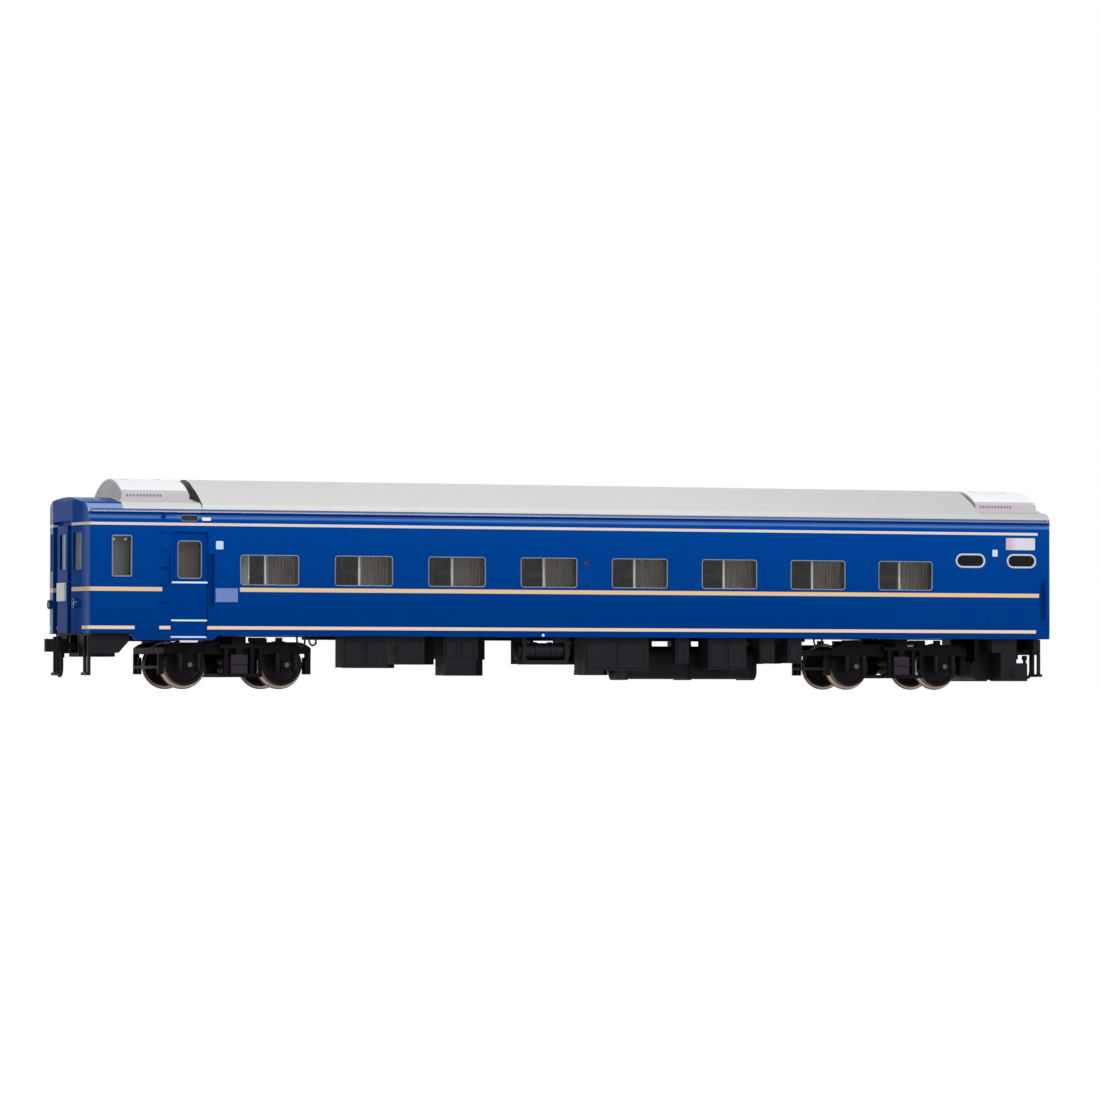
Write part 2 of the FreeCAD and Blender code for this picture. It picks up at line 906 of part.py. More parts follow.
def end_windows():
    """Blocks the shape of the two windows in the guard's end."""
    x = (-half_length - S.cut_margin, -half_length + S.facet_depth + wall * 2)
    block = box(x, onward(end_window_y, S.end_window_width), onward(end_window_z, S.end_window_height))
    return both_sides(rounded(block, S.end_window_corner_radius, along("x")))


def side_recesses():
    """Shallow pockets in a side: handrail niches, the sign and the lamp over the door."""
    out = half_width + S.cut_margin
    niche = (half_width - S.niche_depth, out)
    x = door_x + S.door_width + S.niche_offset
    z = tumble_z - S.niche_drop
    pockets = [box(onward(x, S.niche_width), niche, onward(z, S.niche_height))]
    x = half_length - S.rear_niche_setback
    z = sill_z + S.rear_niche_rise
    pockets.append(box(onward(x, S.niche_width), niche, onward(z, S.rear_niche_height)))
    z = cant_z - S.sign_drop
    sign = box(onward(sign_x, S.sign_width), (half_width - S.sign_depth, out), onward(z, S.sign_height))
    pockets.append(rounded(sign, S.sign_corner_radius, along("y")))
    x = -half_length + S.side_lamp_setback
    z = cant_z - S.side_lamp_drop
    span = (cant_half - S.side_lamp_depth, out)
    lamp = box(onward(x, S.side_lamp_width), span, onward(z, S.side_lamp_height))
    pockets.append(rounded(lamp, S.side_lamp_height / 2 - S.fit_gap / 2, along("y")))
    return pockets


def gutter():
    """The channel under the edge of the roof, sunk into the top of a side."""
    span = (-half_length + S.gutter_front_setback, half_length - S.rear_corner_radius)
    depth = (cant_half - S.gutter_depth, half_width)
    return box(span, depth, (cant_z - S.gutter_height, cant_z))


def cant_strips():
    """The rib below the gutter, which stops at the lamp over the door, and the gutter's spout."""
    lamp = -half_length + S.side_lamp_setback
    reaches = [
        (-half_length + S.cant_rib_front_setback, lamp - S.cant_rib_height),
        (lamp + S.side_lamp_width + S.cant_rib_height, half_length - S.rear_corner_radius),
    ]
    z = cant_z - S.cant_rib_drop
    depth = (cant_half - wall / 2, cant_half + S.cant_rib_proud)
    ribs = [box(reach, depth, onward(z, S.cant_rib_height)) for reach in reaches]
    spout_x = -half_length + S.gutter_front_setback - S.gutter_spout_width
    spout = box(onward(spout_x, S.gutter_spout_width), depth, (cant_z - S.gutter_spout_height, cant_z))
    return [spout] + ribs


def iron_rungs():
    """Five grips that stand off the side beside the guard's window."""
    x = -half_length + S.iron_setback
    parts = []
    for n in range(int(SIZES["iron_count"])):
        z = sill_z + S.iron_rise + S.iron_spacing * n
        out = (half_width - wall / 2, half_width + S.iron_depth)
        bar = box(onward(x, S.iron_width), out, onward(z, S.iron_thickness))
        gap = (half_width, half_width + S.iron_depth - S.iron_thickness)
        inside = grown(onward(x, S.iron_width), -S.iron_thickness)
        hole = box(inside, gap, grown(onward(z, S.iron_thickness), S.cut_margin))
        parts.append(cut(bar, [hole]))
    return parts


def brow():
    """The body from the side, with the rim where the guard's end meets the hood rolled over."""
    front = -half_length
    rear = half_length + S.cut_margin
    under = door_sill_z - S.cut_margin
    top = deck_z + S.fit_gap
    steps = [
        (front, under),
        (rear, under),
        (rear, top),
        (front + S.brow_radius, top),
        (front, top - S.brow_radius, S.brow_radius),
    ]
    return prism("XZ", steps, (-half_width, half_width))


def shell():
    under = door_sill_z - S.cut_margin
    high = deck_z + S.cut_margin
    ends = (-half_length, half_length)
    walls = prism("YZ", wall_section(ZERO), ends)
    hood = prism("YZ", low_roof_section(ZERO), (-half_length, hood_end))
    outer = common(common(fuse([walls, hood]), plan_prism(ZERO, (under, high))), brow())
    rooms = [
        prism("YZ", wall_section(wall), ends),
        prism("YZ", low_roof_section(wall), (-half_length, hood_end + S.cut_margin)),
        box(ends, across(cant_half * 2 - wall * 2), (cant_z - wall, cant_z + S.fit_gap)),
        box(ends, across(floor_half * 2), (under, door_sill_z + wall)),
    ]
    inner = common(fuse(rooms), plan_prism(wall, (under, high)))
    hollow = cut(outer, [inner, sill_cutter()])
    nook = box(
        (recess_x - wall / 2, recess_x + wall),
        across(S.gangway_half_width * 2 + wall * 2),
        (guard_sill_z, gangway_top + wall),
    )
    recess = box(
        (-half_length - S.cut_margin, recess_x), across(S.gangway_half_width * 2), (under, gangway_top)
    )
    front_door = box(
        (-half_length - S.cut_margin, recess_x + S.cut_margin),
        across(S.gangway_door_width),
        (under, gangway_door_top),
    )
    rear_door = box(
        grown((half_length - wall, half_length), S.cut_margin),
        across(S.rear_door_width),
        (under, cant_z - S.rear_door_drop),
    )
    bore = cylinder("x", S.tail_lamp_radius, lamp_length, (lamp_x, -lamp_y, lamp_z))
    out = half_width + S.cut_margin
    pockets = fuse(side_recesses())
    cutters = side_windows(out) + [door_leaf(ZERO, out)] + end_windows() + both_sides(bore)
    cutters += both_sides(pockets) + both_sides(gutter())
    cutters += [rounded(recess, S.gangway_corner_radius, upper("x", crown_z)), front_door, rear_door]
    trim = fuse(cant_strips() + iron_rungs())
    return fuse([cut(fuse([hollow, nook]), cutters)] + both_sides(trim))


node("body_shell", shell())

# Roof


def roof():
    high = dome_z + S.cut_margin
    skin = S.roof_thickness
    dome_span = (-half_length + S.dome_front_setback, half_length - S.dome_rear_setback)
    deck = prism("YZ", low_roof_section(ZERO), (hood_end, half_length))
    dome = prism("YZ", dome_section(ZERO), dome_span)
    deck_room = prism("YZ", low_roof_section(skin), (hood_end - S.cut_margin, half_length - skin))
    dome_room = prism("YZ", dome_section(skin), grown(dome_span, -skin))
    outer = common(fuse([deck, dome]), plan_prism(ZERO, (cant_z, high)))
    inner = common(fuse([deck_room, dome_room]), plan_prism(skin, (cant_z - S.cut_margin, high)))
    return cut(outer, [inner])


node("roof", roof())


def cooler_louvres(start, shoulder, half):
    """A row of upright slots below each shoulder of a cooling unit."""
    z = shoulder - S.louvre_drop - S.louvre_height
    slots = []
    for n in range(int(SIZES["louvre_count"])):
        x = start + S.louvre_margin + S.louvre_spacing * n
        depth = (half - S.louvre_depth, half + S.cut_margin)
        slots.append(box(onward(x, S.louvre_width), depth, onward(z, S.louvre_height)))
    return both_sides(fuse(slots))


def fan_well(x, top):
    """A round well in the crown of a cooling unit, with a hub and a cross of bars left standing."""
    low = top - S.fan_depth
    tall = S.fan_depth + S.cut_margin
    well = cylinder("z", S.fan_radius, tall, (x, ZERO, low))
    grille = [
        cylinder("z", S.fan_hub_radius, tall, (x, ZERO, low)),
        box(about(x, S.fan_radius * 2), across(S.fan_bar_width), onward(low, tall)),
        box(about(x, S.fan_bar_width), across(S.fan_radius * 2), onward(low, tall)),
    ]
    return cut(well, [fuse(grille)])


def cooler(start):
    """A roof cooling unit on its plinth: square sides, a round crown, louvres and two fans."""
    end = start + S.cooler_length
    half = S.cooler_width / 2
    foot = cant_z + S.cooler_foot_rise
    shoulder = foot + S.cooler_shoulder_rise
    top = shoulder + S.cooler_rise
    crown = arc_radius(S.cooler_rise, half)
    steps = [(half, foot), (half, shoulder), (-half, shoulder, crown), (-half, foot)]
    block = prism("YZ", steps, (start, end))
    block = rounded(block, S.cooler_edge_radius, curved)
    plinth_span = grown((start, end), S.cooler_plinth_proud)
    plinth_z = (foot, cant_z + S.deck_shoulder_rise + S.cooler_plinth_rise)
    plinth = box(plinth_span, grown((-half, half), S.cooler_plinth_proud), plinth_z)
    seat = common(prism("YZ", low_roof_section(ZERO), plinth_span), fuse([block, plinth]))
    middle = (start + end) / 2
    tools = cooler_louvres(start, shoulder, half)
    tools += [fan_well(middle + S.fan_spread * side, top) for side in (-1, 1)]
    return cut(fuse([block, plinth]), tools + [seat])


node("air_conditioner_front", cooler(-half_length + S.cooler_front_setback))
node("air_conditioner_rear", cooler(half_length - S.cooler_rear_setback - S.cooler_length))

# Glazing

glass_outer = half_width - wall
glass_inner = glass_outer - S.glass_thickness


def glazing():
    """One clear moulding behind a side, with a raised pane in each window."""
    ends = (-half_length, half_length)
    strip = box(
        (guard_window_x - S.glass_margin, sign_x + S.sign_width),
        (glass_inner, glass_outer),
        (window_z - S.glass_margin, crown_z),
    )
    root = glass_outer - S.glass_thickness / 2
    layer = box(ends, (root, half_width - S.glass_recess), (ZERO, cant_z))
    panes = [common(block, layer) for block in side_windows(half_width)]
    size = (door_window_width, S.door_window_height, S.door_window_corner_radius)
    face = half_width - S.door_recess - S.glass_recess
    pane = window(door_window_x, door_window_z, *size, face)
    panes.append(common(pane, box(ends, (root, half_width), (ZERO, cant_z))))
    return fuse([strip] + panes)


far_glass = node("glazing_far", glazing())
node("glazing_near", mirror(far_glass))


def end_layer(outer_inset, inner_inset):
    """The skin between two insets of the outline from above, as high as the end windows."""
    span = grown(onward(end_window_z, S.end_window_height), S.glass_margin)
    inside = plan_prism(inner_inset, grown(span, S.cut_margin))
    return cut(plan_prism(outer_inset, span), [inside])


def end_glazing():
    """A clear pane behind one facet window of the guard's end, with a plug in the opening."""
    block = box(
        (-half_length, -half_length + S.facet_depth + wall * 3),
        (S.gangway_half_width + wall, end_window_y + S.end_window_width + S.end_glass_margin),
        grown(onward(end_window_z, S.end_window_height), S.glass_margin / 2),
    )
    pane = common(end_layer(wall, wall + S.glass_thickness), block)
    plug = common(end_layer(S.glass_recess, wall + S.glass_thickness / 2), end_windows()[0])
    return fuse([pane, plug])


def gangway_glazing():
    span = onward(-half_length + S.glass_recess, S.glass_thickness)
    z = onward(gangway_window_z, S.gangway_window_height)
    pane = box(span, across(S.gangway_window_width), z)
    return rounded(pane, S.gangway_window_corner_radius, along("x"))


node("glazing_front_end", fuse([gangway_glazing()] + both_sides(end_glazing())))

# Doors


def door_band(low, high, inset):
    """A stretch of one door leaf that follows the curve of the side."""
    gap = S.door_gap
    span = onward(door_x + gap, S.door_width - gap * 2)
    block = box(span, (ZERO, half_width), (low, high))
    face = prism("YZ", wall_section(inset), span)
    back = prism("YZ", wall_section(wall), grown(span, S.cut_margin))
    return common(block, cut(face, [back]))


def entrance_door():
    """A flush door with a round-cornered window and three bright kicking strips."""
    gap = S.door_gap
    skin = common(door_leaf(gap, half_width), door_band(door_z, door_top - gap, S.door_recess))
    strips = []
    for z in (tumble_z + S.door_upper_rib_rise, sill_z + S.door_lower_rib_rise, door_z):
        strips.append(door_band(z, z + S.door_rib_width, S.door_recess - S.door_rib_proud))
    size = (door_window_width, S.door_window_height, S.door_window_corner_radius)
    hole = window(door_window_x, door_window_z, *size, half_width + S.cut_margin)
    return cut(fuse([skin] + strips), [hole])


far_door = node("entrance_door_far", entrance_door())
node("entrance_door_near", mirror(far_door))


def door_step():
    """The tread at the foot of the entrance door."""
    x = door_x + (S.door_width - S.door_step_width) / 2
    face = half_width - S.sill_inset + S.door_rib_proud
    depth = (face - S.door_step_depth - S.door_rib_proud, face)
    return box(onward(x, S.door_step_width), depth, (door_sill_z - S.door_step_thickness, door_sill_z))


pair("door_steps", door_step())


def gangway_door_front():
    """The guard's end door, which stands out of its recess as far as the end's flat face."""
    span = (-half_length, recess_x + wall)
    slab = box(span, across(S.gangway_door_width), (guard_sill_z, gangway_door_top))
    slab = rounded(slab, S.gangway_window_corner_radius, along("x"))
    z = onward(gangway_window_z, S.gangway_window_height)
    hole = box(grown(span, S.cut_margin), across(S.gangway_window_width), z)
    return cut(slab, [rounded(hole, S.gangway_window_corner_radius, along("x"))])


node("gangway_door_front", gangway_door_front())


def tail_sign():
    z = tumble_z - S.tail_sign_drop
    span = (-half_length - S.tail_sign_depth, -half_length)
    block = box(span, across(S.tail_sign_width), onward(z, S.tail_sign_height))
    return rounded(block, S.tail_sign_corner_radius, along("x"))


node("tail_sign", tail_sign())


def gangway_door_rear():
    span = (half_length - wall, half_length)
    slab = box(span, across(S.rear_door_width), (sill_z, cant_z - S.rear_door_drop))
    z = onward(gangway_window_z, S.gangway_window_height)
    hole = box(grown(span, S.cut_margin), across(S.gangway_window_width), z)
    return cut(slab, [rounded(hole, S.gangway_window_corner_radius, along("x"))])


node("gangway_door_rear", gangway_door_rear())


def bellows():
    """The rear gangway's bellows, with two folds round its outside."""
    wide = across(S.bellows_width)
    tall = (sill_z - S.bellows_foot_drop, cant_z - S.bellows_drop)
    span = onward(half_length, S.bellows_depth)
    ring = rounded(box(span, wide, tall), S.bellows_corner_radius, along("x"))
    inner = box(grown(span, S.cut_margin), grown(wide, -S.bellows_wall), grown(tall, -S.bellows_wall))
    folds = []
    for n in range(2):
        x = half_length + S.bellows_groove_start + S.bellows_groove_spacing * n
        slot = onward(x, S.bellows_groove_width)
        full = box(slot, grown(wide, S.cut_margin), grown(tall, S.cut_margin))
        core = box(slot, grown(wide, -S.bellows_groove_width), grown(tall, -S.bellows_groove_width))
        core = rounded(core, S.bellows_corner_radius - S.bellows_groove_width, along("x"))
        folds.append(cut(full, [core]))
    return cut(ring, [rounded(inner, S.bellows_corner_radius / 2, along("x"))] + folds)


node("gangway_bellows", bellows())


def tail_lamp():
    """A lamp body with its lens set back in a rim."""
    spot = (lamp_x, lamp_y, lamp_z)
    body = cylinder("x", S.tail_lamp_radius, lamp_length, spot)
    bore = cylinder("x", S.tail_lamp_radius - S.tail_lamp_rim, S.tail_lamp_lens_sink, spot)
    return cut(body, [bore])


pair("tail_lamps", tail_lamp())


def handrail():
    """The upright rail before the entrance door, on two short stands."""
    x = door_x - S.rail_offset
    z = tumble_z + S.rail_rise
    bar = cylinder("z", S.rail_radius, S.rail_length, (x, half_width + S.rail_standoff, z))
    parts = [bar]
    for level in (z + S.rail_radius * 2, z + S.rail_length - S.rail_radius * 2):
        root = (x, half_width, level)
        parts.append(cylinder("y", S.rail_stand_radius, S.rail_standoff, root))
    return fuse(parts)


pair("handrails", handrail())

# Floor and what hangs at its ends


def draft_box(sign):
    """The pocket that a coupler swings in, open at its outer end."""
    inner = pivot_x - S.draft_box_back
    outer = inner + S.draft_box_length
    low = floor_low - S.draft_box_depth
    skin = S.draft_box_wall
    block = box((inner, outer), across(S.draft_box_width), (low, floor_low))
    space = box(
        (inner + skin, outer + S.cut_margin),
        across(S.draft_box_width - skin * 2),
        (low + skin, floor_low),
    )
    post = cylinder("z", S.coupler_pin_radius, floor_low - low, (pivot_x, ZERO, low))
    pocket = fuse([cut(block, [space]), post])
    return pocket if sign > 0 else mirror(pocket, LENGTHWAYS)


def end_beam(sign):
    """The beam below an end, notched for the coupler; the guard's end has side skirts behind it."""
    low = floor_low - S.buffer_beam_depth
    span = (beam_x - S.buffer_beam_thickness, beam_x)
    beam = box(span, across(S.buffer_beam_width), (low, floor_low))
    notch = box(grown(span, S.cut_margin), across(S.beam_notch_width), (low - S.cut_margin, floor_low))
    beam = cut(beam, [notch])
    if sign > 0:
        return beam
    skirt_low = floor_low - S.skirt_depth
    start = beam_x - S.skirt_length
    steps = [
        (start, floor_low),
        (start, floor_low - S.skirt_depth / 3),
        (start + S.skirt_ramp, skirt_low),
        (beam_x, skirt_low),
        (beam_x, floor_low),
    ]
    skirt = prism("XZ", steps, (gear_y - S.skirt_thickness, gear_y))
    return mirror(fuse([beam] + both_sides(skirt)), LENGTHWAYS)


def underframe():
    """The floor plate, its centre sill, the bosses that the bogies turn on, and both ends."""
    front = -half_length + S.facet_depth + wall + S.floor_end_gap
    rear = half_length - wall - S.floor_end_gap
    parts = [box((front, rear), across(floor_half * 2), (floor_low, floor_high))]
    drop = floor_low - boss_low
    holes = []
    for sign in (-1, 1):
        x = bogie_x * sign
        parts.append(cylinder("z", S.bolster_plate_radius, drop, (x, ZERO, boss_low)))
        parts += [draft_box(sign), end_beam(sign)]
        deep = drop + S.kingpin_grip + S.fit_gap
        holes.append(cylinder("z", S.kingpin_radius, deep, (x, ZERO, boss_low - S.fit_gap)))
    sill_half = bogie_x - S.centre_sill_gap
    sill_span = (floor_low - S.centre_sill_depth, floor_low)
    parts.append(box((-sill_half, sill_half), across(S.centre_sill_width), sill_span))
    return cut(fuse(parts), holes)


node("underframe", underframe())


def kingpin():
    """The screw that a bogie turns on; its head holds the bogie to the floor."""
    head_top = bolster_low - S.pivot_gap
    low = head_top - S.kingpin_head_thickness
    high = floor_low + S.kingpin_grip
    head = cylinder("z", S.kingpin_head_radius, S.kingpin_head_thickness, (ZERO, ZERO, low))
    shank = cylinder("z", S.kingpin_radius, high - low, (ZERO, ZERO, low))
    slot = box(
        across(S.kingpin_head_radius * 2),
        across(S.kingpin_slot_width),
        (low, low + S.kingpin_slot_width),
    )
    return cut(fuse([head, shank]), [slot])


screw = kingpin()
node("kingpin_front", copy_at(screw, -bogie_x))
node("kingpin_rear", copy_at(screw, bogie_x))

# Rooms

room_half = glass_inner - S.room_gap
slab_high = floor_high + S.saloon_floor_thickness
aisle_y = S.corridor_depth - half_width
partition_top = cant_z - S.partition_drop
berth_gap = window_spacing * S.berth_gap_share
berth_width = window_spacing * S.berth_width_share
berth_lag = window_spacing * S.berth_lag_share
drape_depth = S.curtain_thickness + S.curtain_fold
berth_y = (aisle_y, room_half - drape_depth)
seat_z = slab_high + S.lower_berth_rise


def bay_x(n):
    """Where the right-hand berths of a bay begin, with its ladder post."""
    return window_x + window_spacing * n + berth_lag


def interior():
    """Floor slab, cross walls, and two tiers of berths on both sides of each open bay."""
    thin = S.partition_thickness
    span = (-half_length + S.room_front_setback, half_length - S.room_rear_setback)
    parts = [box(span, across(floor_half * 2), (floor_high, slab_high))]
    tall = (slab_high, partition_top)
    full = (-room_half, room_half)
    lowest = bay_x(0) - berth_gap - berth_width - thin / 2
    highest = half_length - S.washroom_wall_setback
    for x in (lowest, highest, -half_length + S.guard_room_wall_setback):
        parts.append(box(onward(x, thin), full, tall))
    parts.append(box((highest, span[1]), (aisle_y - thin, aisle_y), tall))
    for n in range(window_count + 1):
        middle = bay_x(n) - berth_gap - berth_width
        parts.append(box(about(middle, thin), (aisle_y, room_half), tall))
    for n in range(window_count):
        post = bay_x(n)
        left = (post - berth_gap - berth_width, post - berth_gap)
        for berth in (left, (post, post + berth_width)):
            for rise in (S.lower_berth_rise, S.upper_berth_rise):
                parts.append(box(berth, berth_y, (slab_high + rise - S.berth_thickness, slab_high + rise)))
        for x in (post - berth_gap - thin, post):
            parts.append(box(onward(x, thin), (aisle_y - thin, aisle_y), tall))
            parts.append(box(onward(x, thin), (aisle_y - thin / 2, berth_y[1]), (slab_high, seat_z)))
    vestibule = -half_length + S.vestibule_setback
    screen = (aisle_y - thin, aisle_y)
    parts.append(box(onward(vestibule, S.vestibule_length), screen, tall))
    return fuse(parts)


node("interior", interior())


def curtain(reach, face, folds):
    """A hanging curtain whose folds stand towards -Y from a flat back."""
    step = (reach[1] - reach[0]) / (folds * 2)
    steps = []
    for n in range(folds * 2 + 1):
        y = face - S.curtain_thickness - S.curtain_fold * (n % 2)
        steps.append((reach[0] + step * n, y))
    steps += [(reach[1], face), (reach[0], face)]
    return prism("XY", steps, (slab_high, cant_z - S.curtain_drop - S.partition_drop))


def curtains():
    """One across each berth's end, towards the corridor, and one drawn over each far window."""
    thin = S.partition_thickness
    pieces = []
    for n in range(window_count):
        post = bay_x(n)
        left = (post - berth_gap - berth_width + thin / 2, post - berth_gap - thin)
        right = (post + thin, post + berth_width - thin / 2)
        for reach in (left, right):
            pieces.append(curtain(reach, aisle_y, int(SIZES["curtain_fold_count"])))
        bay = (left[0] + S.fit_gap, right[1] - S.fit_gap)
        pieces.append(curtain(bay, room_half, int(SIZES["curtain_fold_count"])))
    return pieces


node("curtains", fuse(curtains()))

# Equipment below the floor


def latch(x, z):
    """A small bar that holds a cover shut."""
    depth = (gear_y - S.panel_proud, gear_y + S.latch_proud)
    return box(about(x, S.latch_width), depth, about(z, S.latch_height))


def case(start_share, run_share, depth, height, door_count):
    """A case hung from the floor, with raised covers on its outer face, each with two latches."""
    x = bogie_x * start_share
    length = bogie_x * run_share
    low = floor_low - height
    parts = [box(onward(x, length), (gear_y - depth, gear_y - S.panel_proud), (low, floor_low))]
    margin = S.panel_margin
    step = (length - margin) / door_count
    z = (low + margin, floor_low - margin * 3)
    for n in range(door_count):
        span = onward(x + margin + step * n, step - margin)
        panel = box(span, (gear_y - S.panel_proud * 2, gear_y), z)
        parts.append(rounded(panel, S.panel_corner_radius, along("y")))
        for level in (z[0] + (z[1] - z[0]) / 4, z[1] - (z[1] - z[0]) / 4):
            parts.append(latch(span[1] - S.latch_width, level))
    return fuse(parts)


def charger_case():
    """A case with a narrower tray below it."""
    upper_case = case(
        S.charger_start_share, S.charger_run_share, S.charger_depth, S.charger_height, 2
    )
    length = bogie_x * S.charger_tray_run_share
    middle = bogie_x * (S.charger_start_share + S.charger_run_share / 2)
    low = floor_low - S.charger_height
    tray = box(
        about(middle, length),
        (gear_y - S.charger_depth, gear_y - S.panel_proud),
        (low - S.charger_tray_height, low),
    )
    return fuse([upper_case, tray])


def control_case():
    """The tall cabinet, with a foot below its first door."""
    cabinet = case(S.control_start_share, S.control_run_share, S.control_depth, S.control_height, 2)
    low = floor_low - S.control_height
    foot = box(
        onward(bogie_x * S.control_foot_start_share, bogie_x * S.control_foot_run_share),
        (gear_y - S.control_depth, gear_y - S.panel_proud),
        (low - S.control_foot_height, low),
    )
    return fuse([cabinet, foot])


def air_tank():
    """A cylinder with domed ends in an open rack, held by two straps."""
    x = bogie_x * S.tank_start_share
    length = bogie_x * S.tank_run_share
    y = gear_y - S.tank_inset
    z = floor_low - S.tank_drop
    dome = S.tank_end_length
    crown = arc_radius(dome, S.tank_radius)
    steps = [
        (length, ZERO),
        (length - dome, S.tank_radius, crown),
        (dome, S.tank_radius),
        (ZERO, ZERO, crown),
    ]
    barrel = turned("XY", steps, LENGTHWAYS, (x, y, z))
    rack_x = x + bogie_x * S.tank_rack_start_share
    rack_run = bogie_x * S.tank_rack_run_share
    depth = (gear_y - S.tank_rack_depth, gear_y - S.panel_proud)
    low = floor_low - S.tank_rack_height
    thin = S.tank_rack_wall
    parts = [barrel, box(onward(rack_x, rack_run), depth, onward(low, thin))]
    for start in (rack_x, rack_x + rack_run - thin):
        parts.append(box(onward(start, thin), depth, (low, floor_low)))
    for side in (1, 2):
        spot = (rack_x + rack_run / 3 * side - S.tank_strap_width / 2, y, z)
        radius = S.tank_radius + S.tank_strap_proud
        parts.append(cylinder("x", radius, S.tank_strap_width, spot))
    return fuse(parts)


def staggered(label, lag, piece):
    """A node of two alike pieces, the far one set further back along the coach."""
    return node(label, fuse([copy_at(piece, lag), mirror(piece)]))


battery_case = case(S.battery_start_share, S.battery_run_share, S.battery_depth, S.battery_height, 2)
staggered("battery_boxes", S.far_gear_lag, battery_case)
relay_case = case(S.relay_start_share, S.relay_run_share, S.relay_depth, S.relay_height, 1)
staggered("relay_boxes", S.far_gear_lag, relay_case)
valve_case = case(S.valve_start_share, S.valve_run_share, S.valve_depth, S.valve_height, 1)
staggered("valve_boxes", S.far_gear_lag, valve_case)
compressor_case = case(
    S.compressor_start_share, S.compressor_run_share, S.compressor_depth, S.compressor_height, 2
)
staggered("compressor_boxes", S.far_gear_lag, compressor_case)
filter_case = case(S.filter_start_share, S.filter_run_share, S.filter_depth, S.filter_height, 1)
staggered("filter_boxes", S.far_filter_lag, filter_case)
fuse_case = case(S.fuse_start_share, S.fuse_run_share, S.fuse_depth, S.fuse_height, 1)
staggered("fuse_boxes", S.far_fuse_lag, fuse_case)
staggered("charger_boxes", S.far_gear_lag, charger_case())
staggered("air_reservoirs", S.far_gear_lag, air_tank())
staggered("control_cabinets", S.far_gear_lag, control_case())


def cistern():
    """The low water tank along the middle, in three straps that hang from the floor."""
    x = bogie_x * S.cistern_start_share
    length = bogie_x * S.cistern_run_share
    high = floor_low - S.cistern_drop
    tall = (high - S.cistern_height, high)
    wide = across(S.cistern_width)
    tank = rounded(box(onward(x, length), wide, tall), S.cistern_corner_radius, along("x"))
    parts = [tank]
    proud = S.cistern_strap_proud
    for n in range(3):
        span = onward(x + (length - S.cistern_strap_width) / 2 * n, S.cistern_strap_width)
        band = box(span, grown(wide, proud), grown(tall, proud))
        parts.append(rounded(band, S.cistern_corner_radius + proud, along("x")))
        inset = S.cistern_corner_radius + S.cistern_strap_width
        ear = box(span, (S.cistern_width / 2 - inset, S.cistern_width / 2 - inset / 2), (high, floor_low))
        parts += both_sides(ear)
    return fuse(parts)


node("water_tank", cistern())

waste_x = half_length - S.waste_setback


def waste_tank():
    """The wide tank below the rear coupler's pocket, hung from the floor by two cheeks."""
    high = floor_low - S.waste_drop
    low = high - S.waste_height
    tank = box(onward(waste_x, S.waste_length), across(S.waste_width), (low, high))
    tank = rounded(tank, S.waste_corner_radius, along("y"))
    cheek_x = grown(onward(waste_x, S.waste_length), -S.waste_corner_radius)
    cheek_y = (S.waste_width / 2 - S.waste_corner_radius, S.waste_width / 2)
    cheek = box(cheek_x, cheek_y, (high - S.waste_corner_radius, floor_low))
    return fuse([tank] + both_sides(cheek))


node("waste_tank", waste_tank())


def waste_panel():
    """The stepped panel outside the waste tank, with its emptying cap."""
    x = waste_x + S.waste_panel_gap
    depth = (S.waste_width / 2, gear_y)
    upper_low = floor_low - S.waste_upper_height
    low = upper_low - S.waste_middle_height
    middle_x = x + S.waste_upper_length - S.waste_middle_length
    upper_plate = box(onward(x, S.waste_upper_length), depth, (upper_low, floor_low))
    middle = box(onward(middle_x, S.waste_middle_length), depth, (low, upper_low))
    lower = box(onward(middle_x, S.waste_lower_length), depth, onward(low, S.waste_lower_height))
    spot = (middle_x + S.waste_lower_length / 2, gear_y, low + S.waste_lower_height / 2)
    cap = cylinder("y", S.waste_cap_radius, S.waste_cap_proud, spot)
    return fuse([upper_plate, middle, lower, cap])


pair("service_panels", waste_panel())


def corner_step():
    """A shunter's stirrup: two straps down from the end beam, with a tread between their feet."""
    y = half_width - S.corner_step_inset - S.corner_step_width
    high = sill_z - S.fit_gap
    low = high - S.corner_step_height
    thin = S.corner_step_strap
    span = onward(beam_x, thin)
    straps = [box(span, onward(y + gap, thin), (low, high)) for gap in (ZERO, S.corner_step_width - thin)]
    tread = box(onward(beam_x, S.corner_step_depth), onward(y, S.corner_step_width), onward(low, thin))
    return fuse(straps + [tread])


step = fuse(both_sides(corner_step()))
node("corner_steps", fuse([step, mirror(step, LENGTHWAYS)]))


def hose_loop():
    """A brake hose as the model moulds it: a stiff U from the end beam up to its free coupling."""
    x = beam_x + S.hose_standoff
    y = S.hose_offset
    bend = S.hose_bend_radius
    r = S.hose_radius
    high = floor_low - S.hose_drop
    low = high - S.hose_length + bend
    ring = doc.addObject("Part::Torus", unique("Bend"))
    bind(ring, "Radius1", bend)
    bind(ring, "Radius2", r)
    place(ring, (x, y, low), FreeCAD.Rotation(FreeCAD.Vector(0, 1, 0), 90))
    bowl = box(about(x, bend * 2), about(y, bend * 4), (low - bend * 2, low))
    free_top = low + S.hose_hook_rise
    parts = [
        cylinder("z", r, high - low, (x, y + bend, low)),
        cylinder("z", r, S.hose_hook_rise, (x, y - bend, low)),
        common(ring, bowl),
        cylinder("x", r, S.hose_standoff + r, (beam_x, y + bend, high - r)),
        cylinder("z", S.hose_collar_radius, S.hose_collar_length, (x, y + bend, high - S.hose_drop)),
        cylinder("z", S.hose_collar_radius, S.hose_collar_length, (x, y - bend, free_top)),
    ]
    return fuse(parts)


rear_hoses = node("rear_brake_hoses", mirror(hose_loop()))
node("front_brake_hoses", mirror(mirror(rear_hoses), LENGTHWAYS))

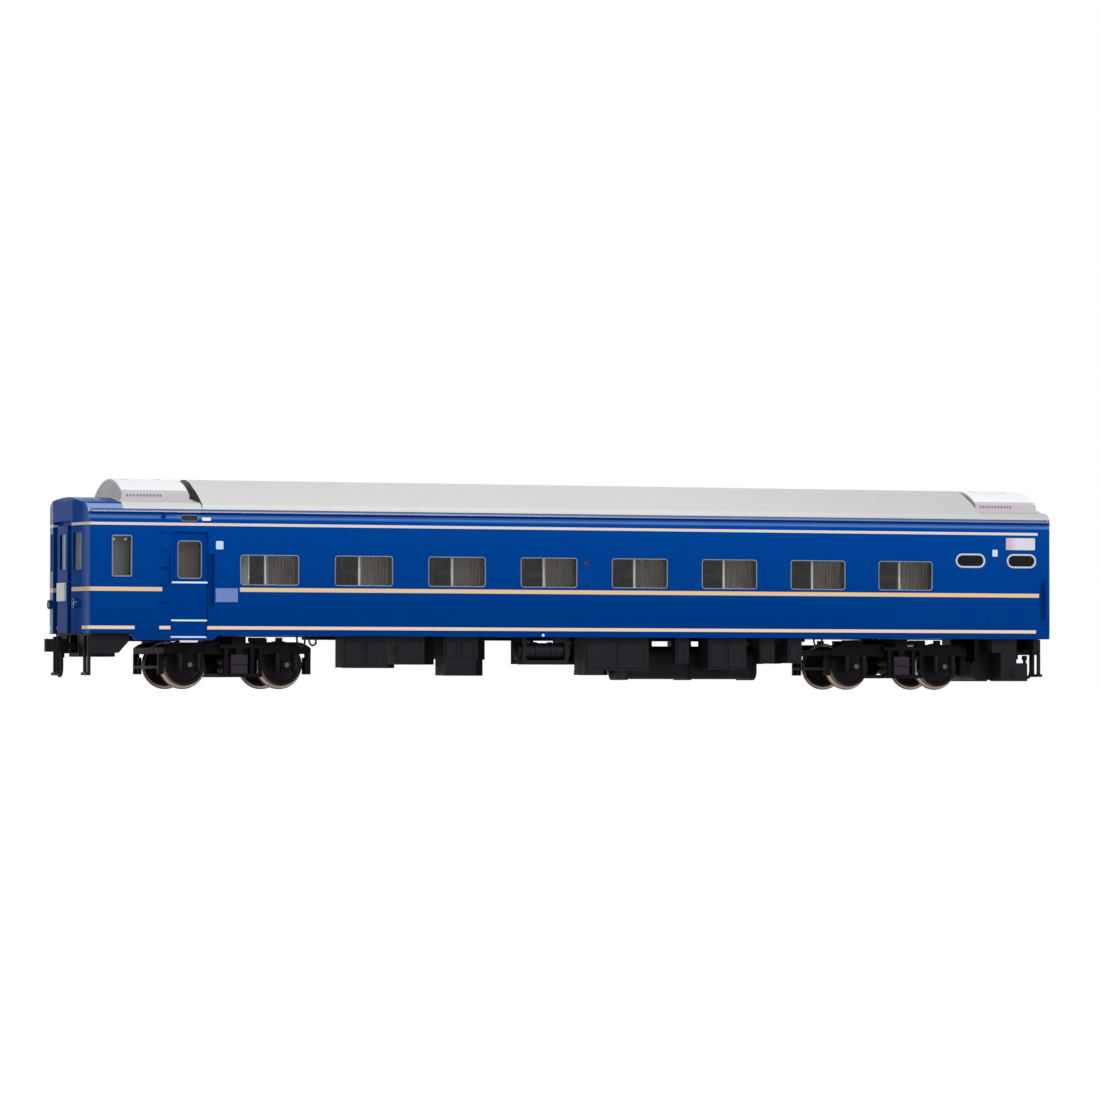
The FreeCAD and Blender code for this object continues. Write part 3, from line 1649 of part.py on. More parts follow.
# Couplers


def coupler():
    """A knuckle head on a shank whose eye turns on the pocket's post."""
    z = floor_low - S.coupler_drop
    high = about(z, S.coupler_shank_height)
    back = coupler_x - S.coupler_head_length
    eye = cylinder("z", S.coupler_eye_radius, S.coupler_shank_height, (pivot_x, ZERO, high[0]))
    shank = box((pivot_x, back + S.fit_gap), across(S.coupler_shank_width), high)
    wide = S.coupler_head_width / 2
    jaw = coupler_x - S.coupler_slot_length
    neck = S.coupler_neck_width / 2
    steps = [
        (back, -neck),
        (jaw - S.coupler_slot_length, -wide),
        (jaw + S.coupler_slot_length / 2, -wide),
        (jaw, -wide / 3),
        (jaw - S.coupler_slot_length / 2, ZERO),
        (jaw, wide / 4),
        (coupler_x, wide / 3),
        (coupler_x, wide * 2 / 3),
        (jaw, wide),
        (jaw - S.coupler_slot_length, wide),
        (back, neck),
    ]
    head = prism("XY", steps, about(z, S.coupler_head_height))
    hole = S.coupler_pin_radius + S.kingpin_clearance
    bore = cylinder("z", hole, S.coupler_shank_height * 2, (pivot_x, ZERO, z - S.coupler_shank_height))
    return cut(fuse([eye, shank, head]), [bore])


rear_coupler = node("coupler_rear", coupler())
node("coupler_front", mirror(rear_coupler, LENGTHWAYS))

# Bogies. One is drawn at the origin, its two sides alike when turned half a circle, then copied.

side_in = S.side_frame_offset
side_out = side_in + S.side_thickness
side_half = S.bogie_length / 2
basket_y = onward(side_out + S.basket_gap, S.basket_depth)
point_half = side_in + S.axle_point_length


def wheelset():
    """An axle with its two wheel centres, and the two steel tyres round them."""
    inner = S.back_to_back_width / 2
    outer = inner + S.wheel_width
    tread = S.tread_diameter / 2
    rim = tread - S.tyre_thickness
    shoulder = side_in - S.axle_shoulder_gap
    web = (inner + S.wheel_dish, outer - S.wheel_dish)
    shaft = [
        (ZERO, -point_half),
        (S.axle_point_radius, -point_half),
        (S.axle_point_radius, -shoulder),
        (S.axle_radius, -shoulder),
        (S.axle_radius, shoulder),
        (S.axle_point_radius, shoulder),
        (S.axle_point_radius, point_half),
        (ZERO, point_half),
    ]
    disc = [
        (ZERO, inner - S.hub_proud),
        (S.hub_radius, inner - S.hub_proud),
        (S.hub_radius + S.hub_proud, web[0]),
        (rim - S.wheel_rim, web[0]),
        (rim - S.wheel_rim / 2, inner),
        (rim, inner),
        (rim, outer),
        (rim - S.wheel_rim / 2, outer),
        (rim - S.wheel_rim, web[1]),
        (S.hub_radius + S.hub_proud, web[1]),
        (S.hub_radius, outer + S.hub_proud),
        (ZERO, outer + S.hub_proud),
    ]
    flange = tread + S.flange_depth
    tyre = [
        (rim, inner),
        (flange - S.flange_round_radius, inner),
        (flange, inner + S.flange_thickness / 2),
        (flange - S.flange_round_radius, inner + S.flange_thickness),
        (tread, inner + S.flange_thickness + S.flange_round_radius),
        (tread - S.tread_cone_height, outer),
        (rim, outer),
    ]
    spot = (ZERO, ZERO, axle_z)
    centres = turned("XY", disc, CROSSWAYS, spot)
    axle = fuse([turned("XY", shaft, CROSSWAYS, spot)] + both_sides(centres))
    return axle, fuse(both_sides(turned("XY", tyre, CROSSWAYS, spot)))


def side_profile(extra):
    """The cast side's outline from the side: noses at both ends and a dip for the bolster."""
    nose = axle_z + S.side_nose_rise
    nose_low = axle_z + S.side_nose_low_rise
    foot = side_half - S.side_nose_length
    hip = S.side_dip_width / 2 + S.side_dip
    return [
        (-side_half + extra, nose_low + extra),
        (-foot, side_low + extra),
        (foot, side_low + extra),
        (side_half - extra, nose_low + extra),
        (side_half - extra, nose - extra),
        (foot, side_top - extra, S.side_nose_radius),
        (hip, side_top - extra),
        (S.side_dip_width / 2, bolster_low - extra),
        (-S.side_dip_width / 2, bolster_low - extra),
        (-hip, side_top - extra),
        (-foot, side_top - extra),
        (-side_half + extra, nose - extra, S.side_nose_radius),
    ]


def axlebox(ax):
    """A pedestal with its two guide springs, and the round axlebox with its cover and keeper."""
    foot = axle_z - S.axlebox_radius - S.pedestal_drop
    half = S.pedestal_width / 2
    leg = [
        (ax - half + S.pedestal_taper, foot),
        (ax + half - S.pedestal_taper, foot),
        (ax + half, axle_z),
        (ax + half, side_low + S.fit_gap),
        (ax - half, side_low + S.fit_gap),
        (ax - half, axle_z),
    ]
    parts = [prism("XZ", leg, (side_in, side_out))]
    face = side_out - S.fit_gap
    parts.append(cylinder("y", S.axlebox_radius, S.axlebox_proud, (ax, face, axle_z)))
    cap_face = face + S.axlebox_proud
    parts.append(cylinder("y", S.axlebox_cap_radius, S.axlebox_cap_proud, (ax, cap_face, axle_z)))
    keeper = box(
        about(ax, S.keeper_width), (face, face + S.keeper_proud), onward(foot, S.keeper_height)
    )
    parts.append(rounded(keeper, S.keeper_height / 2 - S.fit_gap, along("y")))
    for side in (-1, 1):
        parts.append(guide_spring(ax + S.coil_offset * side, foot))
    return parts


def guide_spring(x, foot):
    """A coil drawn as stacked rounds on a rod, standing half out of the pedestal's face."""
    high = side_low + S.coil_tuck
    rod = cylinder("z", S.coil_radius - S.coil_groove, high - foot, (x, side_out, foot))
    pieces = [rod]
    count = int(SIZES["coil_count"])
    step = (high - foot) / count
    for n in range(count):
        disc = cylinder("z", S.coil_radius, step - S.coil_groove, (x, side_out, foot + step * n))
        pieces.append(disc)
    return fuse(pieces)


def side_frame():
    """One cast side: a web between two flanges, axleboxes, and the brackets on its upper edge."""
    parts = [prism("XZ", side_profile(ZERO), (side_in, side_out))]
    sunk = prism(
        "XZ",
        side_profile(S.side_flange_width),
        (side_out - S.side_flange_sink, side_out + S.cut_margin),
    )
    parts = [cut(parts[0], [sunk])]
    for side in (-1, 1):
        parts += axlebox(axle_x * side)
    depth = (side_in, side_out)
    lug = box(about(-S.lug_offset, S.lug_width), depth, (side_top, side_top + S.lug_height))
    stay = box(about(-S.stay_offset, S.stay_width), depth, (side_top, side_top + S.lug_height))
    horn = (side_half - S.horn_length, side_half - S.side_nose_length)
    pad = box(horn, depth, (side_top, side_top + S.lug_height))
    parts += [lug, stay, pad]
    bearings = []
    for side in (-1, 1):
        spot = (axle_x * side, side_in - S.fit_gap, axle_z)
        bore = S.axle_point_radius + S.bearing_clearance
        bearings.append(cylinder("y", bore, S.axle_point_length + S.fit_gap * 2, spot))
    return cut(fuse(parts), bearings)


def bogie_frame():
    """Two cast sides joined by two transoms and an end beam at each end."""
    inside = across(side_in * 2 + S.fit_gap * 2)
    parts = turned_about(side_frame())
    for side in (-1, 1):
        tall = onward(side_low + S.transom_lift, S.transom_thickness)
        parts.append(box(about(S.transom_offset * side, S.transom_width), inside, tall))
        middle = (side_half - S.end_beam_width / 2) * side
        tall = onward(axle_z + S.side_nose_low_rise, S.end_beam_thickness)
        parts.append(box(about(middle, S.end_beam_width), inside, tall))
    return fuse(parts)


def basket():
    """What hangs outside a side: spring plank, air spring in its case, hangers and a damper."""
    half = S.basket_width / 2
    low = axle_z - S.axlebox_radius - S.pedestal_drop - S.plank_drop
    plank_top = low + S.plank_thickness
    tie_top = side_top - S.basket_tie_drop
    case_top = axle_z + S.spring_case_rise
    plank = box((-half, half), basket_y, (low, plank_top))
    parts = [rounded(plank, S.plank_nose_radius, along("y"))]
    parts.append(box((-half, half), basket_y, (tie_top - S.plank_thickness, tie_top)))
    parts.append(box(across(S.spring_case_width), basket_y, (plank_top - S.fit_gap, case_top)))
    ledge = onward(case_top - S.spring_case_ledge_drop - S.spring_case_ledge, S.spring_case_ledge)
    ledge_y = (basket_y[0], basket_y[1] + S.spring_case_ledge)
    wide = across(S.spring_case_width + S.spring_case_ledge * 2)
    parts.append(box(wide, ledge_y, ledge))
    parts.append(box(across(S.bolster_width / 2), basket_y, (case_top - S.fit_gap, bolster_top)))
    for side in (-1, 1):
        span = about(S.basket_post_offset * side, S.basket_post_width)
        parts.append(box(span, basket_y, (low + S.fit_gap, tie_top)))
    y = (basket_y[0] + basket_y[1]) / 2
    foot = (-S.damper_offset, y, low)
    parts.append(cylinder("z", S.damper_radius, tie_top - low, foot))
    sleeve = (-S.damper_offset, y, (low + tie_top) / 2)
    parts.append(cylinder("z", S.damper_sleeve_radius, (tie_top - low) / 2, sleeve))
    ear = box((-S.damper_offset, -half), basket_y, (low, plank_top))
    parts.append(ear)
    parts.append(box((-S.damper_offset, -half), basket_y, (tie_top - S.plank_thickness, tie_top)))
    return fuse(parts)


def bolster():
    """The cross beam that rests in the frame's dips and carries a spring basket at each end."""
    tall = (bolster_low, bolster_top)
    beam = box(across(S.bolster_width), (-basket_y[1], basket_y[1]), tall)
    plate = cylinder("z", S.bolster_plate_radius, S.bolster_thickness, (ZERO, ZERO, bolster_low))
    bore_tall = S.bolster_thickness + S.cut_margin
    bore_low = bolster_low - S.cut_margin / 2
    bore = cylinder("z", S.kingpin_radius + S.kingpin_clearance, bore_tall, (ZERO, ZERO, bore_low))
    return fuse([cut(fuse([beam, plate]), [bore])] + turned_about(basket()))


def brake_rig():
    """At each end of the bogie, a beam on two hangers with a block against each tread."""
    plane = side_half + S.shoe_gap
    hook = axle_z + S.side_nose_low_rise
    foot = hook - S.hanger_length
    thin = S.hanger_width
    beam_low = foot + thin * 2
    hanger_y = S.back_to_back_width / 2 + S.wheel_width + S.hanger_gap
    shoe_y = S.back_to_back_width / 2 + S.flange_thickness + S.shoe_gap / 2
    beam = box(about(plane, thin), across(hanger_y * 2 + thin), onward(beam_low, thin))
    hanger = box((plane - thin * 1.5, plane + thin / 2), onward(hanger_y, S.hanger_depth), (foot, hook))
    shoe_out = plane - thin / 2 + S.fit_gap
    shoe = box(
        (shoe_out - S.shoe_thickness, shoe_out),
        onward(shoe_y, S.shoe_width),
        onward(foot, S.shoe_height),
    )
    end = fuse([beam] + both_sides(hanger) + both_sides(shoe))
    return fuse([end, mirror(end, LENGTHWAYS)])


axle, tyres = wheelset()
frame = bogie_frame()
swing = bolster()
brakes = brake_rig()
for name, side in (("front", -1), ("rear", 1)):
    node(f"{name}_bogie_frame", copy_at(frame, bogie_x * side))
    node(f"{name}_bogie_bolster", copy_at(swing, bogie_x * side))
    node(f"{name}_bogie_brakes", copy_at(brakes, bogie_x * side))
    for place_name, way in (("outer", 1), ("inner", -1)):
        x = (bogie_x + axle_x * way) * side
        node(f"{name}_bogie_{place_name}_axle", copy_at(axle, x))
        node(f"{name}_bogie_{place_name}_axle_tyres", copy_at(tyres, x))

doc.recompute()
for item in doc.Objects:
    if "Invalid" in item.State or "Error" in item.State:
        raise RuntimeError(f"{item.Name} does not recompute: {item.State}")
os.makedirs("parts", exist_ok=True)
for label, item in nodes.items():
    shape = item.Shape
    if shape.isNull() or not shape.isValid() or not shape.Solids:
        raise RuntimeError(f"{label} has no valid solid")
    shape.exportStep(f"parts/{label}.step")
    print(label, len(shape.Solids), round(shape.Volume, 2))
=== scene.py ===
# A 1:80 model of a night-train sleeping coach: finishes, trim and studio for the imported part.
# Metres throughout, but the tables of sizes before the studio's hold millimetres. X runs along
# the coach, with the guard's end at -X, Y = 0 is its middle, and the near side is at -Y.
import json
import math

import bmesh
import bpy
from mathutils import Matrix, Vector


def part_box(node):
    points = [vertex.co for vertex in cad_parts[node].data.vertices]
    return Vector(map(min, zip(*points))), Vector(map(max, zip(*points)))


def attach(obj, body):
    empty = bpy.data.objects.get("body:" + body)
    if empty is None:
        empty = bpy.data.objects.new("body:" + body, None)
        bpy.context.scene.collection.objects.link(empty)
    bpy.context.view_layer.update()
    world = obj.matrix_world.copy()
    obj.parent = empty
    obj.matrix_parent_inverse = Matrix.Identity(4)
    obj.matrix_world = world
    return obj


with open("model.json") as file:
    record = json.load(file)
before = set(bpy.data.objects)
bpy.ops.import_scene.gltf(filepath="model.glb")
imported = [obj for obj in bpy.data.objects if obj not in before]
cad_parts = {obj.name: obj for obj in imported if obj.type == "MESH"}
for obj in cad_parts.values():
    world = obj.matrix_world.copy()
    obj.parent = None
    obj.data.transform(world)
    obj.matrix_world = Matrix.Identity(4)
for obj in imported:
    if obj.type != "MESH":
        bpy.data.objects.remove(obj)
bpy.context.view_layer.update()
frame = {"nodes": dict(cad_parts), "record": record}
mm = 0.001
sides = (("near", -1), ("far", 1))
noiseSpan = (0.3, 0.7)  # nearly all of a noise texture's values lie in here

# Helpers


def colour(red, green, blue):
    # a colour in 0 to 255 display steps, as a shader socket takes it
    def channel(step):
        step /= 255
        return step / 12.92 if step <= 0.04045 else ((step + 0.055) / 1.055) ** 2.4

    return (channel(red), channel(green), channel(blue), 1.0)


def addNode(tree, kind, inputs=None, **settings):
    made = tree.nodes.new(kind)
    for key, value in settings.items():
        setattr(made, key, value)
    for key, value in (inputs or {}).items():
        if isinstance(value, bpy.types.NodeSocket):
            tree.links.new(value, made.inputs[key])
        else:
            made.inputs[key].default_value = value
    return made


class Finish:
    # a material that is built up one node at a time round its Principled shader

    def __init__(self, name, **sockets):
        self.material = bpy.data.materials.new(name)
        self.material.use_nodes = True
        self.tree = self.material.node_tree
        self.shader = self.tree.nodes["Principled BSDF"]
        self.spot = addNode(self.tree, "ShaderNodeTexCoord").outputs["Object"]
        for key, value in sockets.items():
            self.shader.inputs[key.replace("_", " ")].default_value = value

    def add(self, kind, inputs=None, **settings):
        return addNode(self.tree, kind, inputs, **settings)

    def noise(self, scale, detail, stretch=None):
        spot = self.spot
        if stretch:
            spot = self.add("ShaderNodeMapping", {"Vector": spot, "Scale": stretch}).outputs[0]
        return self.add(
            "ShaderNodeTexNoise",
            {"Vector": spot, "Scale": scale, "Detail": detail, "Roughness": 0.5},
        ).outputs["Fac"]

    def math(self, operation, first, second=0.0, clamp=False):
        return self.add(
            "ShaderNodeMath", {0: first, 1: second}, operation=operation, use_clamp=clamp
        ).outputs[0]

    def times(self, first, *others):
        for other in others:
            first = self.math("MULTIPLY", first, other)
        return first

    def offFrom(self, value, middle):
        # how far a value lies from a middle, on either side
        return self.math("ABSOLUTE", self.math("SUBTRACT", value, middle))

    def rescale(self, value, low, high, toLow, toHigh):
        return self.add(
            "ShaderNodeMapRange",
            {"Value": value, "From Min": low, "From Max": high, "To Min": toLow, "To Max": toHigh},
        ).outputs["Result"]

    def mix(self, factor, first, second):
        made = self.add("ShaderNodeMix", {0: factor, 6: first, 7: second}, data_type="RGBA")
        return made.outputs[2]

    def axes(self):
        return self.add("ShaderNodeSeparateXYZ", {0: self.spot}).outputs

    def facing(self):
        # the surface's own direction, one output for each axis
        return self.add(
            "ShaderNodeSeparateXYZ", {0: self.add("ShaderNodeNewGeometry").outputs["Normal"]}
        ).outputs

    def fromAxle(self):
        # how far a point is from the nearest axle's centre line
        spot = self.axes()
        along = self.math("ABSOLUTE", spot[0])
        gaps = [self.offFrom(along, x * mm) for x in wheels["axles"]]
        near = self.math("MINIMUM", gaps[0], gaps[1])
        up = self.math("SUBTRACT", spot[2], wheels["height"] * mm)
        both = self.add("ShaderNodeCombineXYZ", {0: near, 1: up})
        length = self.add("ShaderNodeVectorMath", {0: both.outputs[0]}, operation="LENGTH")
        return length.outputs["Value"]

    def between(self, value, stretch):
        # 1 inside a stretch given in millimetres
        above = self.math("GREATER_THAN", value, stretch[0] * mm)
        below = self.math("LESS_THAN", value, stretch[1] * mm)
        return self.times(above, below)

    def patch(self, axes, across, up):
        # 1 inside a stretch of X and a stretch of Z
        return self.times(self.between(axes[0], across), self.between(axes[2], up))

    def joined(self, masks):
        # 1 where any of the masks is
        total = masks[0]
        for mask in masks[1:]:
            total = self.math("ADD", total, mask, True)
        return total

    def paint(self, base):
        self.tree.links.new(base, self.shader.inputs["Base Color"])

    def wander(self, noise, low, high):
        # roughness that wanders between two values from place to place
        rough = self.rescale(noise, *noiseSpan, low, high)
        self.tree.links.new(rough, self.shader.inputs["Roughness"])

    def bump(self, heightMap, depth, strength):
        made = self.add(
            "ShaderNodeBump", {"Height": heightMap, "Distance": depth * mm, "Strength": strength}
        )
        before = self.shader.inputs["Normal"].links
        if before:
            self.tree.links.new(before[0].from_socket, made.inputs["Normal"])
        self.tree.links.new(made.outputs[0], self.shader.inputs["Normal"])

    def grain(self, low, high, patches=500, scale=900, depth=0.006, strength=0.4):
        # wandering roughness with the fine grain of a sprayed or moulded surface
        self.wander(self.noise(patches, 2.0), low, high)
        self.bump(self.noise(scale, 2.0), depth, strength)


def dress(finish, *names):
    for name in names:
        for spot in frame["nodes"][name].material_slots:
            spot.material = finish.material


# Blue paint and its markings

livery = {
    "blue": colour(0, 69, 151),
    "blueDeep": colour(0, 63, 143),
    "blueShadedLow": colour(0, 56, 130),  # painted shade: the lower side turns in, away from the light, so it is painted deeper
    "lowFade": (12, 42),
    "cream": colour(224, 208, 196),
    "orange": colour(230, 195, 151),
    "peach": colour(246, 214, 184),
    "lines": [  # each painted line: its height and its stretches in X
        {"z": (40.15, 40.84), "x": [(-131, 126.7)], "tone": "cream"},
        {"z": (24.0, 25.02), "x": [(-131, -110.1), (-90.2, 127)], "tone": "orange"},
        {
            "z": (14.7, 15.52),
            "x": [(-129.45, -116.9), (-110.7, -107.8), (-98.4, 126.4)],
            "tone": "peach",
        },
    ],
    "sideways": 0.55,  # a face that looks this far to a side counts as the side
}

cantRail = {  # above the top line: a painted highlight in a band along the cant, painted shadow in the channel under the gutter, then a painted highlight on the gutter's lip
    "rib": colour(84, 122, 188),
    "ribMiddle": 42.25,
    "ribFade": (0.15, 0.62),
    "ribShare": 0.95,
    "x": (-129, 130),
    "bands": [((42.85, 43.35), "grooveShadowAndJoints", 0.8), ((43.45, 44.15), "gutterEdgeHighlight", 0.6)],
    "grooveShadowAndJoints": colour(4, 30, 80),
    "gutterEdgeHighlight": colour(146, 162, 196),
    "glossFrom": (43.3, 43.5),
}

crownHighlight = {  # a painted highlight on the curve over the guard's end
    "tone": colour(140, 164, 214),
    "x": (-129.4, -119.8),
    "z": (44.2, 49),
    "rise": (0.1, 0.5),
    "share": 0.8,
}

corner = {  # a painted highlight down the corner beside the guard's end, along its whole height
    "tone": colour(96, 128, 182),
    "x": -128.85,
    "reach": 0.7,
    "share": 0.6,
}

# painted shade in the recess at each end, between its walls and below its top
recess = {"tone": colour(0, 12, 36), "halfWidth": 8.3, "from": 124, "top": 40.2, "share": 0.85}

seams = {  # fine dark joints on the near side: a stretch of X and a stretch of Z
    "places": [
        ((-116.95, -110.6), (16.35, 16.5)),
        ((-117.0, -116.85), (13.3, 16.5)),
        ((-110.7, -110.55), (13.3, 16.5)),
        ((106.0, 106.2), (15.9, 19.4)),
        ((112.6, 112.8), (15.9, 19.4)),
        ((120.8, 121.0), (15.9, 19.4)),
        ((-99.0, -98.9), (13.4, 38.0)),
        ((-98.1, -96.85), (20.3, 32.9)),
        ((127.5, 129.2), (18.4, 28.7)),
    ],
    "share": 0.45,
}

blueSheen = {"Specular_IOR_Level": 0.01, "Specular_Tint": (0.3, 0.6, 1, 1)}


def bluePaint(name, shell=True):
    made = Finish(name, Roughness=0.22, Coat_Roughness=0.14, **blueSheen)
    axes = made.axes()
    base = made.mix(made.noise(14, 3.0), livery["blueDeep"], livery["blue"])
    low, high = livery["lowFade"]
    # painted shade, deeper towards the bottom of the side
    base = made.mix(made.rescale(axes[2], low * mm, high * mm, 1.0, 0.0), base, livery["blueShadedLow"])
    made.grain(0.18, 0.28, depth=0.004, strength=0.25)
    if shell:
        base = shellMarks(made, axes, base)
    made.paint(base)
    return made


def shellMarks(made, axes, base):
    # what only the body has: painted shade in the end recesses, painted highlights and painted
    # shadow along the cant rail, painted highlights on the crown and the corner, lines and seams
    facing = made.facing()
    side = made.math("GREATER_THAN", made.math("ABSOLUTE", facing[1]), livery["sideways"])
    wide = made.math("GREATER_THAN", made.math("ABSOLUTE", axes[1]), recess["halfWidth"] * mm)
    ends = made.math("GREATER_THAN", made.math("ABSOLUTE", axes[0]), recess["from"] * mm)
    under = made.math("LESS_THAN", axes[2], recess["top"] * mm)
    # painted shade in the end recess
    shaded = made.times(made.math("SUBTRACT", 1.0, wide), ends, under, recess["share"])
    base = made.mix(shaded, base, recess["tone"])

    # a painted highlight along the cant, then painted shadow in the channel and a painted
    # highlight on the gutter's lip
    offRib = made.offFrom(axes[2], cantRail["ribMiddle"] * mm)
    near, far = cantRail["ribFade"]
    rib = made.rescale(offRib, near * mm, far * mm, cantRail["ribShare"], 0.0)
    base = made.mix(made.times(rib, side), base, cantRail["rib"])
    for up, tone, share in cantRail["bands"]:
        band = made.times(made.patch(axes, cantRail["x"], up), side, share)
        base = made.mix(band, base, cantRail[tone])
    low, high = cantRail["glossFrom"]
    coat = made.times(made.rescale(axes[2], low * mm, high * mm, 0.0, 1.0), side)
    made.tree.links.new(coat, made.shader.inputs["Coat Weight"])

    # a painted highlight on the upward-facing curve over the guard's end
    lit = made.rescale(facing[2], *crownHighlight["rise"], 0.0, crownHighlight["share"])
    lit = made.times(made.patch(axes, crownHighlight["x"], crownHighlight["z"]), side, lit)
    base = made.mix(lit, base, crownHighlight["tone"])
    # a painted highlight in a soft line down that corner
    away = made.offFrom(axes[0], corner["x"] * mm)
    cornerHighlight = made.rescale(away, 0.0, corner["reach"] * mm, corner["share"], 0.0)
    base = made.mix(made.times(cornerHighlight, wide), base, corner["tone"])

    proud = []
    for line in livery["lines"]:
        along = made.joined([made.patch(axes, stretch, line["z"]) for stretch in line["x"]])
        proud.append(made.times(along, wide))
        base = made.mix(proud[-1], base, livery[line["tone"]])
    made.bump(made.joined(proud), 0.02, 0.4)
    # dark joints, in the same tone as the channel's painted shadow
    sunk = made.joined([made.patch(axes, across, up) for across, up in seams["places"]])
    sunk = made.times(sunk, made.math("LESS_THAN", axes[1], 0), seams["share"])
    return made.mix(sunk, base, cantRail["grooveShadowAndJoints"])


doorStrips = {
    "z": [(26.0, 26.42), (16.66, 17.1), (12.55, 13.02)],
    "tone": colour(226, 240, 250),
    "dark": colour(0, 54, 132),
    "light": colour(0, 61, 142),
}


def doorPaint():
    # the door's own blue with its three bright kicking strips
    made = Finish("door_blue", Roughness=0.2, **blueSheen)
    axes = made.axes()
    base = made.mix(made.noise(20, 3.0), doorStrips["dark"], doorStrips["light"])
    bright = made.joined([made.between(axes[2], up) for up in doorStrips["z"]])
    made.paint(made.mix(bright, base, doorStrips["tone"]))
    made.grain(0.17, 0.26, depth=0.004, strength=0.25)
    return made


# Other paints, metals and plastics


def plainPaint(name, dark, light, roughness, gloss=0.35):
    made = Finish(name, Roughness=roughness, Specular_IOR_Level=gloss)
    made.paint(made.mix(made.noise(60, 4.0), dark, light))
    made.grain(roughness - 0.06, roughness + 0.06)
    return made


units = {
    "dark": colour(238, 238, 240),
    "light": colour(248, 248, 249),
    # painted shade on the upright sides and on the faces that look towards -X
    "side": colour(196, 190, 196),
    "sideTop": 49.0,
    "sideShare": 0.95,
    "front": colour(202, 196, 192),
    "frontFacing": -0.5,
}


def unitPaint():
    # pale cooling units with painted shade: their upright sides and fronts are painted greyer than
    # their crowns
    made = Finish("pale_silver_paint", Roughness=0.4, Specular_IOR_Level=0.3)
    tone = made.mix(made.noise(60, 4.0), units["dark"], units["light"])
    side = made.math("LESS_THAN", made.axes()[2], units["sideTop"] * mm)
    tone = made.mix(made.times(side, units["sideShare"]), tone, units["side"])
    front = made.math("LESS_THAN", made.facing()[0], units["frontFacing"])
    made.paint(made.mix(front, tone, units["front"]))
    made.grain(0.34, 0.46)
    return made


roofing = {
    "dark": colour(206, 206, 205),
    "light": colour(216, 216, 214),
    "rear": colour(188, 188, 189),  # painted shade: it is painted darker towards the washroom end
    "fade": (20, 130),
    "fadeShare": 0.95,
    "step": colour(52, 49, 50),  # painted shade on the step behind the front cooling unit, on faces that look towards -X
    "stepFacing": -0.7,
}


def roofPaint():
    made = Finish("silver_paint", Roughness=0.42, Specular_IOR_Level=0.3)
    tone = made.mix(made.noise(30, 4.0), roofing["dark"], roofing["light"])
    start, stop = roofing["fade"]
    # painted shade, darker towards the washroom end
    fade = made.rescale(made.axes()[0], start * mm, stop * mm, 0.0, roofing["fadeShare"])
    tone = made.mix(fade, tone, roofing["rear"])
    # painted shade on the faces that look towards -X
    step = made.math("LESS_THAN", made.facing()[0], roofing["stepFacing"])
    made.paint(made.mix(step, tone, roofing["step"]))
    made.grain(0.36, 0.48, patches=400, scale=800)
    return made


def clearPane(name, tint):
    made = Finish(name, Roughness=0.02, IOR=1.3, Transmission_Weight=1.0)
    made.paint(made.mix(made.noise(40, 2.0), tint, colour(255, 255, 255)))
    made.bump(made.noise(40, 1.0), 0.002, 0.02)
    return made


def curtainCloth(name, dark, light):
    made = Finish(name, Roughness=0.9, Sheen_Weight=0.2)
    # the folds' relief, with painted shade: the cloth is painted darker and lighter along the same
    # folds
    foldShadeAndRelief = made.noise(700, 1.0, stretch=(1, 1, 0.002))
    made.paint(made.mix(foldShadeAndRelief, dark, light))
    made.bump(foldShadeAndRelief, 0.04, 0.3)
    made.bump(made.noise(5000, 1.0), 0.008, 0.3)
    return made


wheels = {
    "axles": (76.85, 101.85),  # distance of each axle from the coach's middle
    "height": 6.05,
    "rim": 5.28,
    "faceFacing": 0.7,
    "bright": colour(168, 156, 150),
    "black": colour(30, 27, 27),
}


def turnedSteel(name, dark, light, roughness, wheel=False):
    # fine rings left by the lathe, round each axle's own centre line
    made = Finish(name, Metallic=1.0, Roughness=roughness)
    rings = made.noise(2200, 3.0, stretch=(1, 0.15, 1))
    tone = made.mix(rings, dark, light)
    if wheel:
        # a wheel's face is blackened inside its bright rim
        turned = made.math("ABSOLUTE", made.facing()[1])
        face = made.math("GREATER_THAN", turned, wheels["faceFacing"])
        inside = made.math("LESS_THAN", made.fromAxle(), wheels["rim"] * mm)
        tone = made.mix(face, tone, wheels["bright"])
        tone = made.mix(made.times(face, inside), tone, wheels["black"])
    made.paint(tone)
    made.wander(rings, roughness - 0.08, roughness + 0.08)
    made.bump(rings, 0.01, 0.3)
    return made


bogieMarks = {
    "outer": 14.1,  # axle lids and spring cases lie further out than this
    "lid": 0.6,
    "lidGlint": colour(92, 87, 87),
    "middle": 89.35,  # distance of each bogie's middle from the coach's
    "caseReach": 2.2,
    "caseZ": (3.95, 8.6),
    "caseTone": colour(50, 43, 52),
}


# painted highlight on the upward faces of the black parts
upwardHighlight = {"facing": (0.4, 1.0), "share": 0.35}


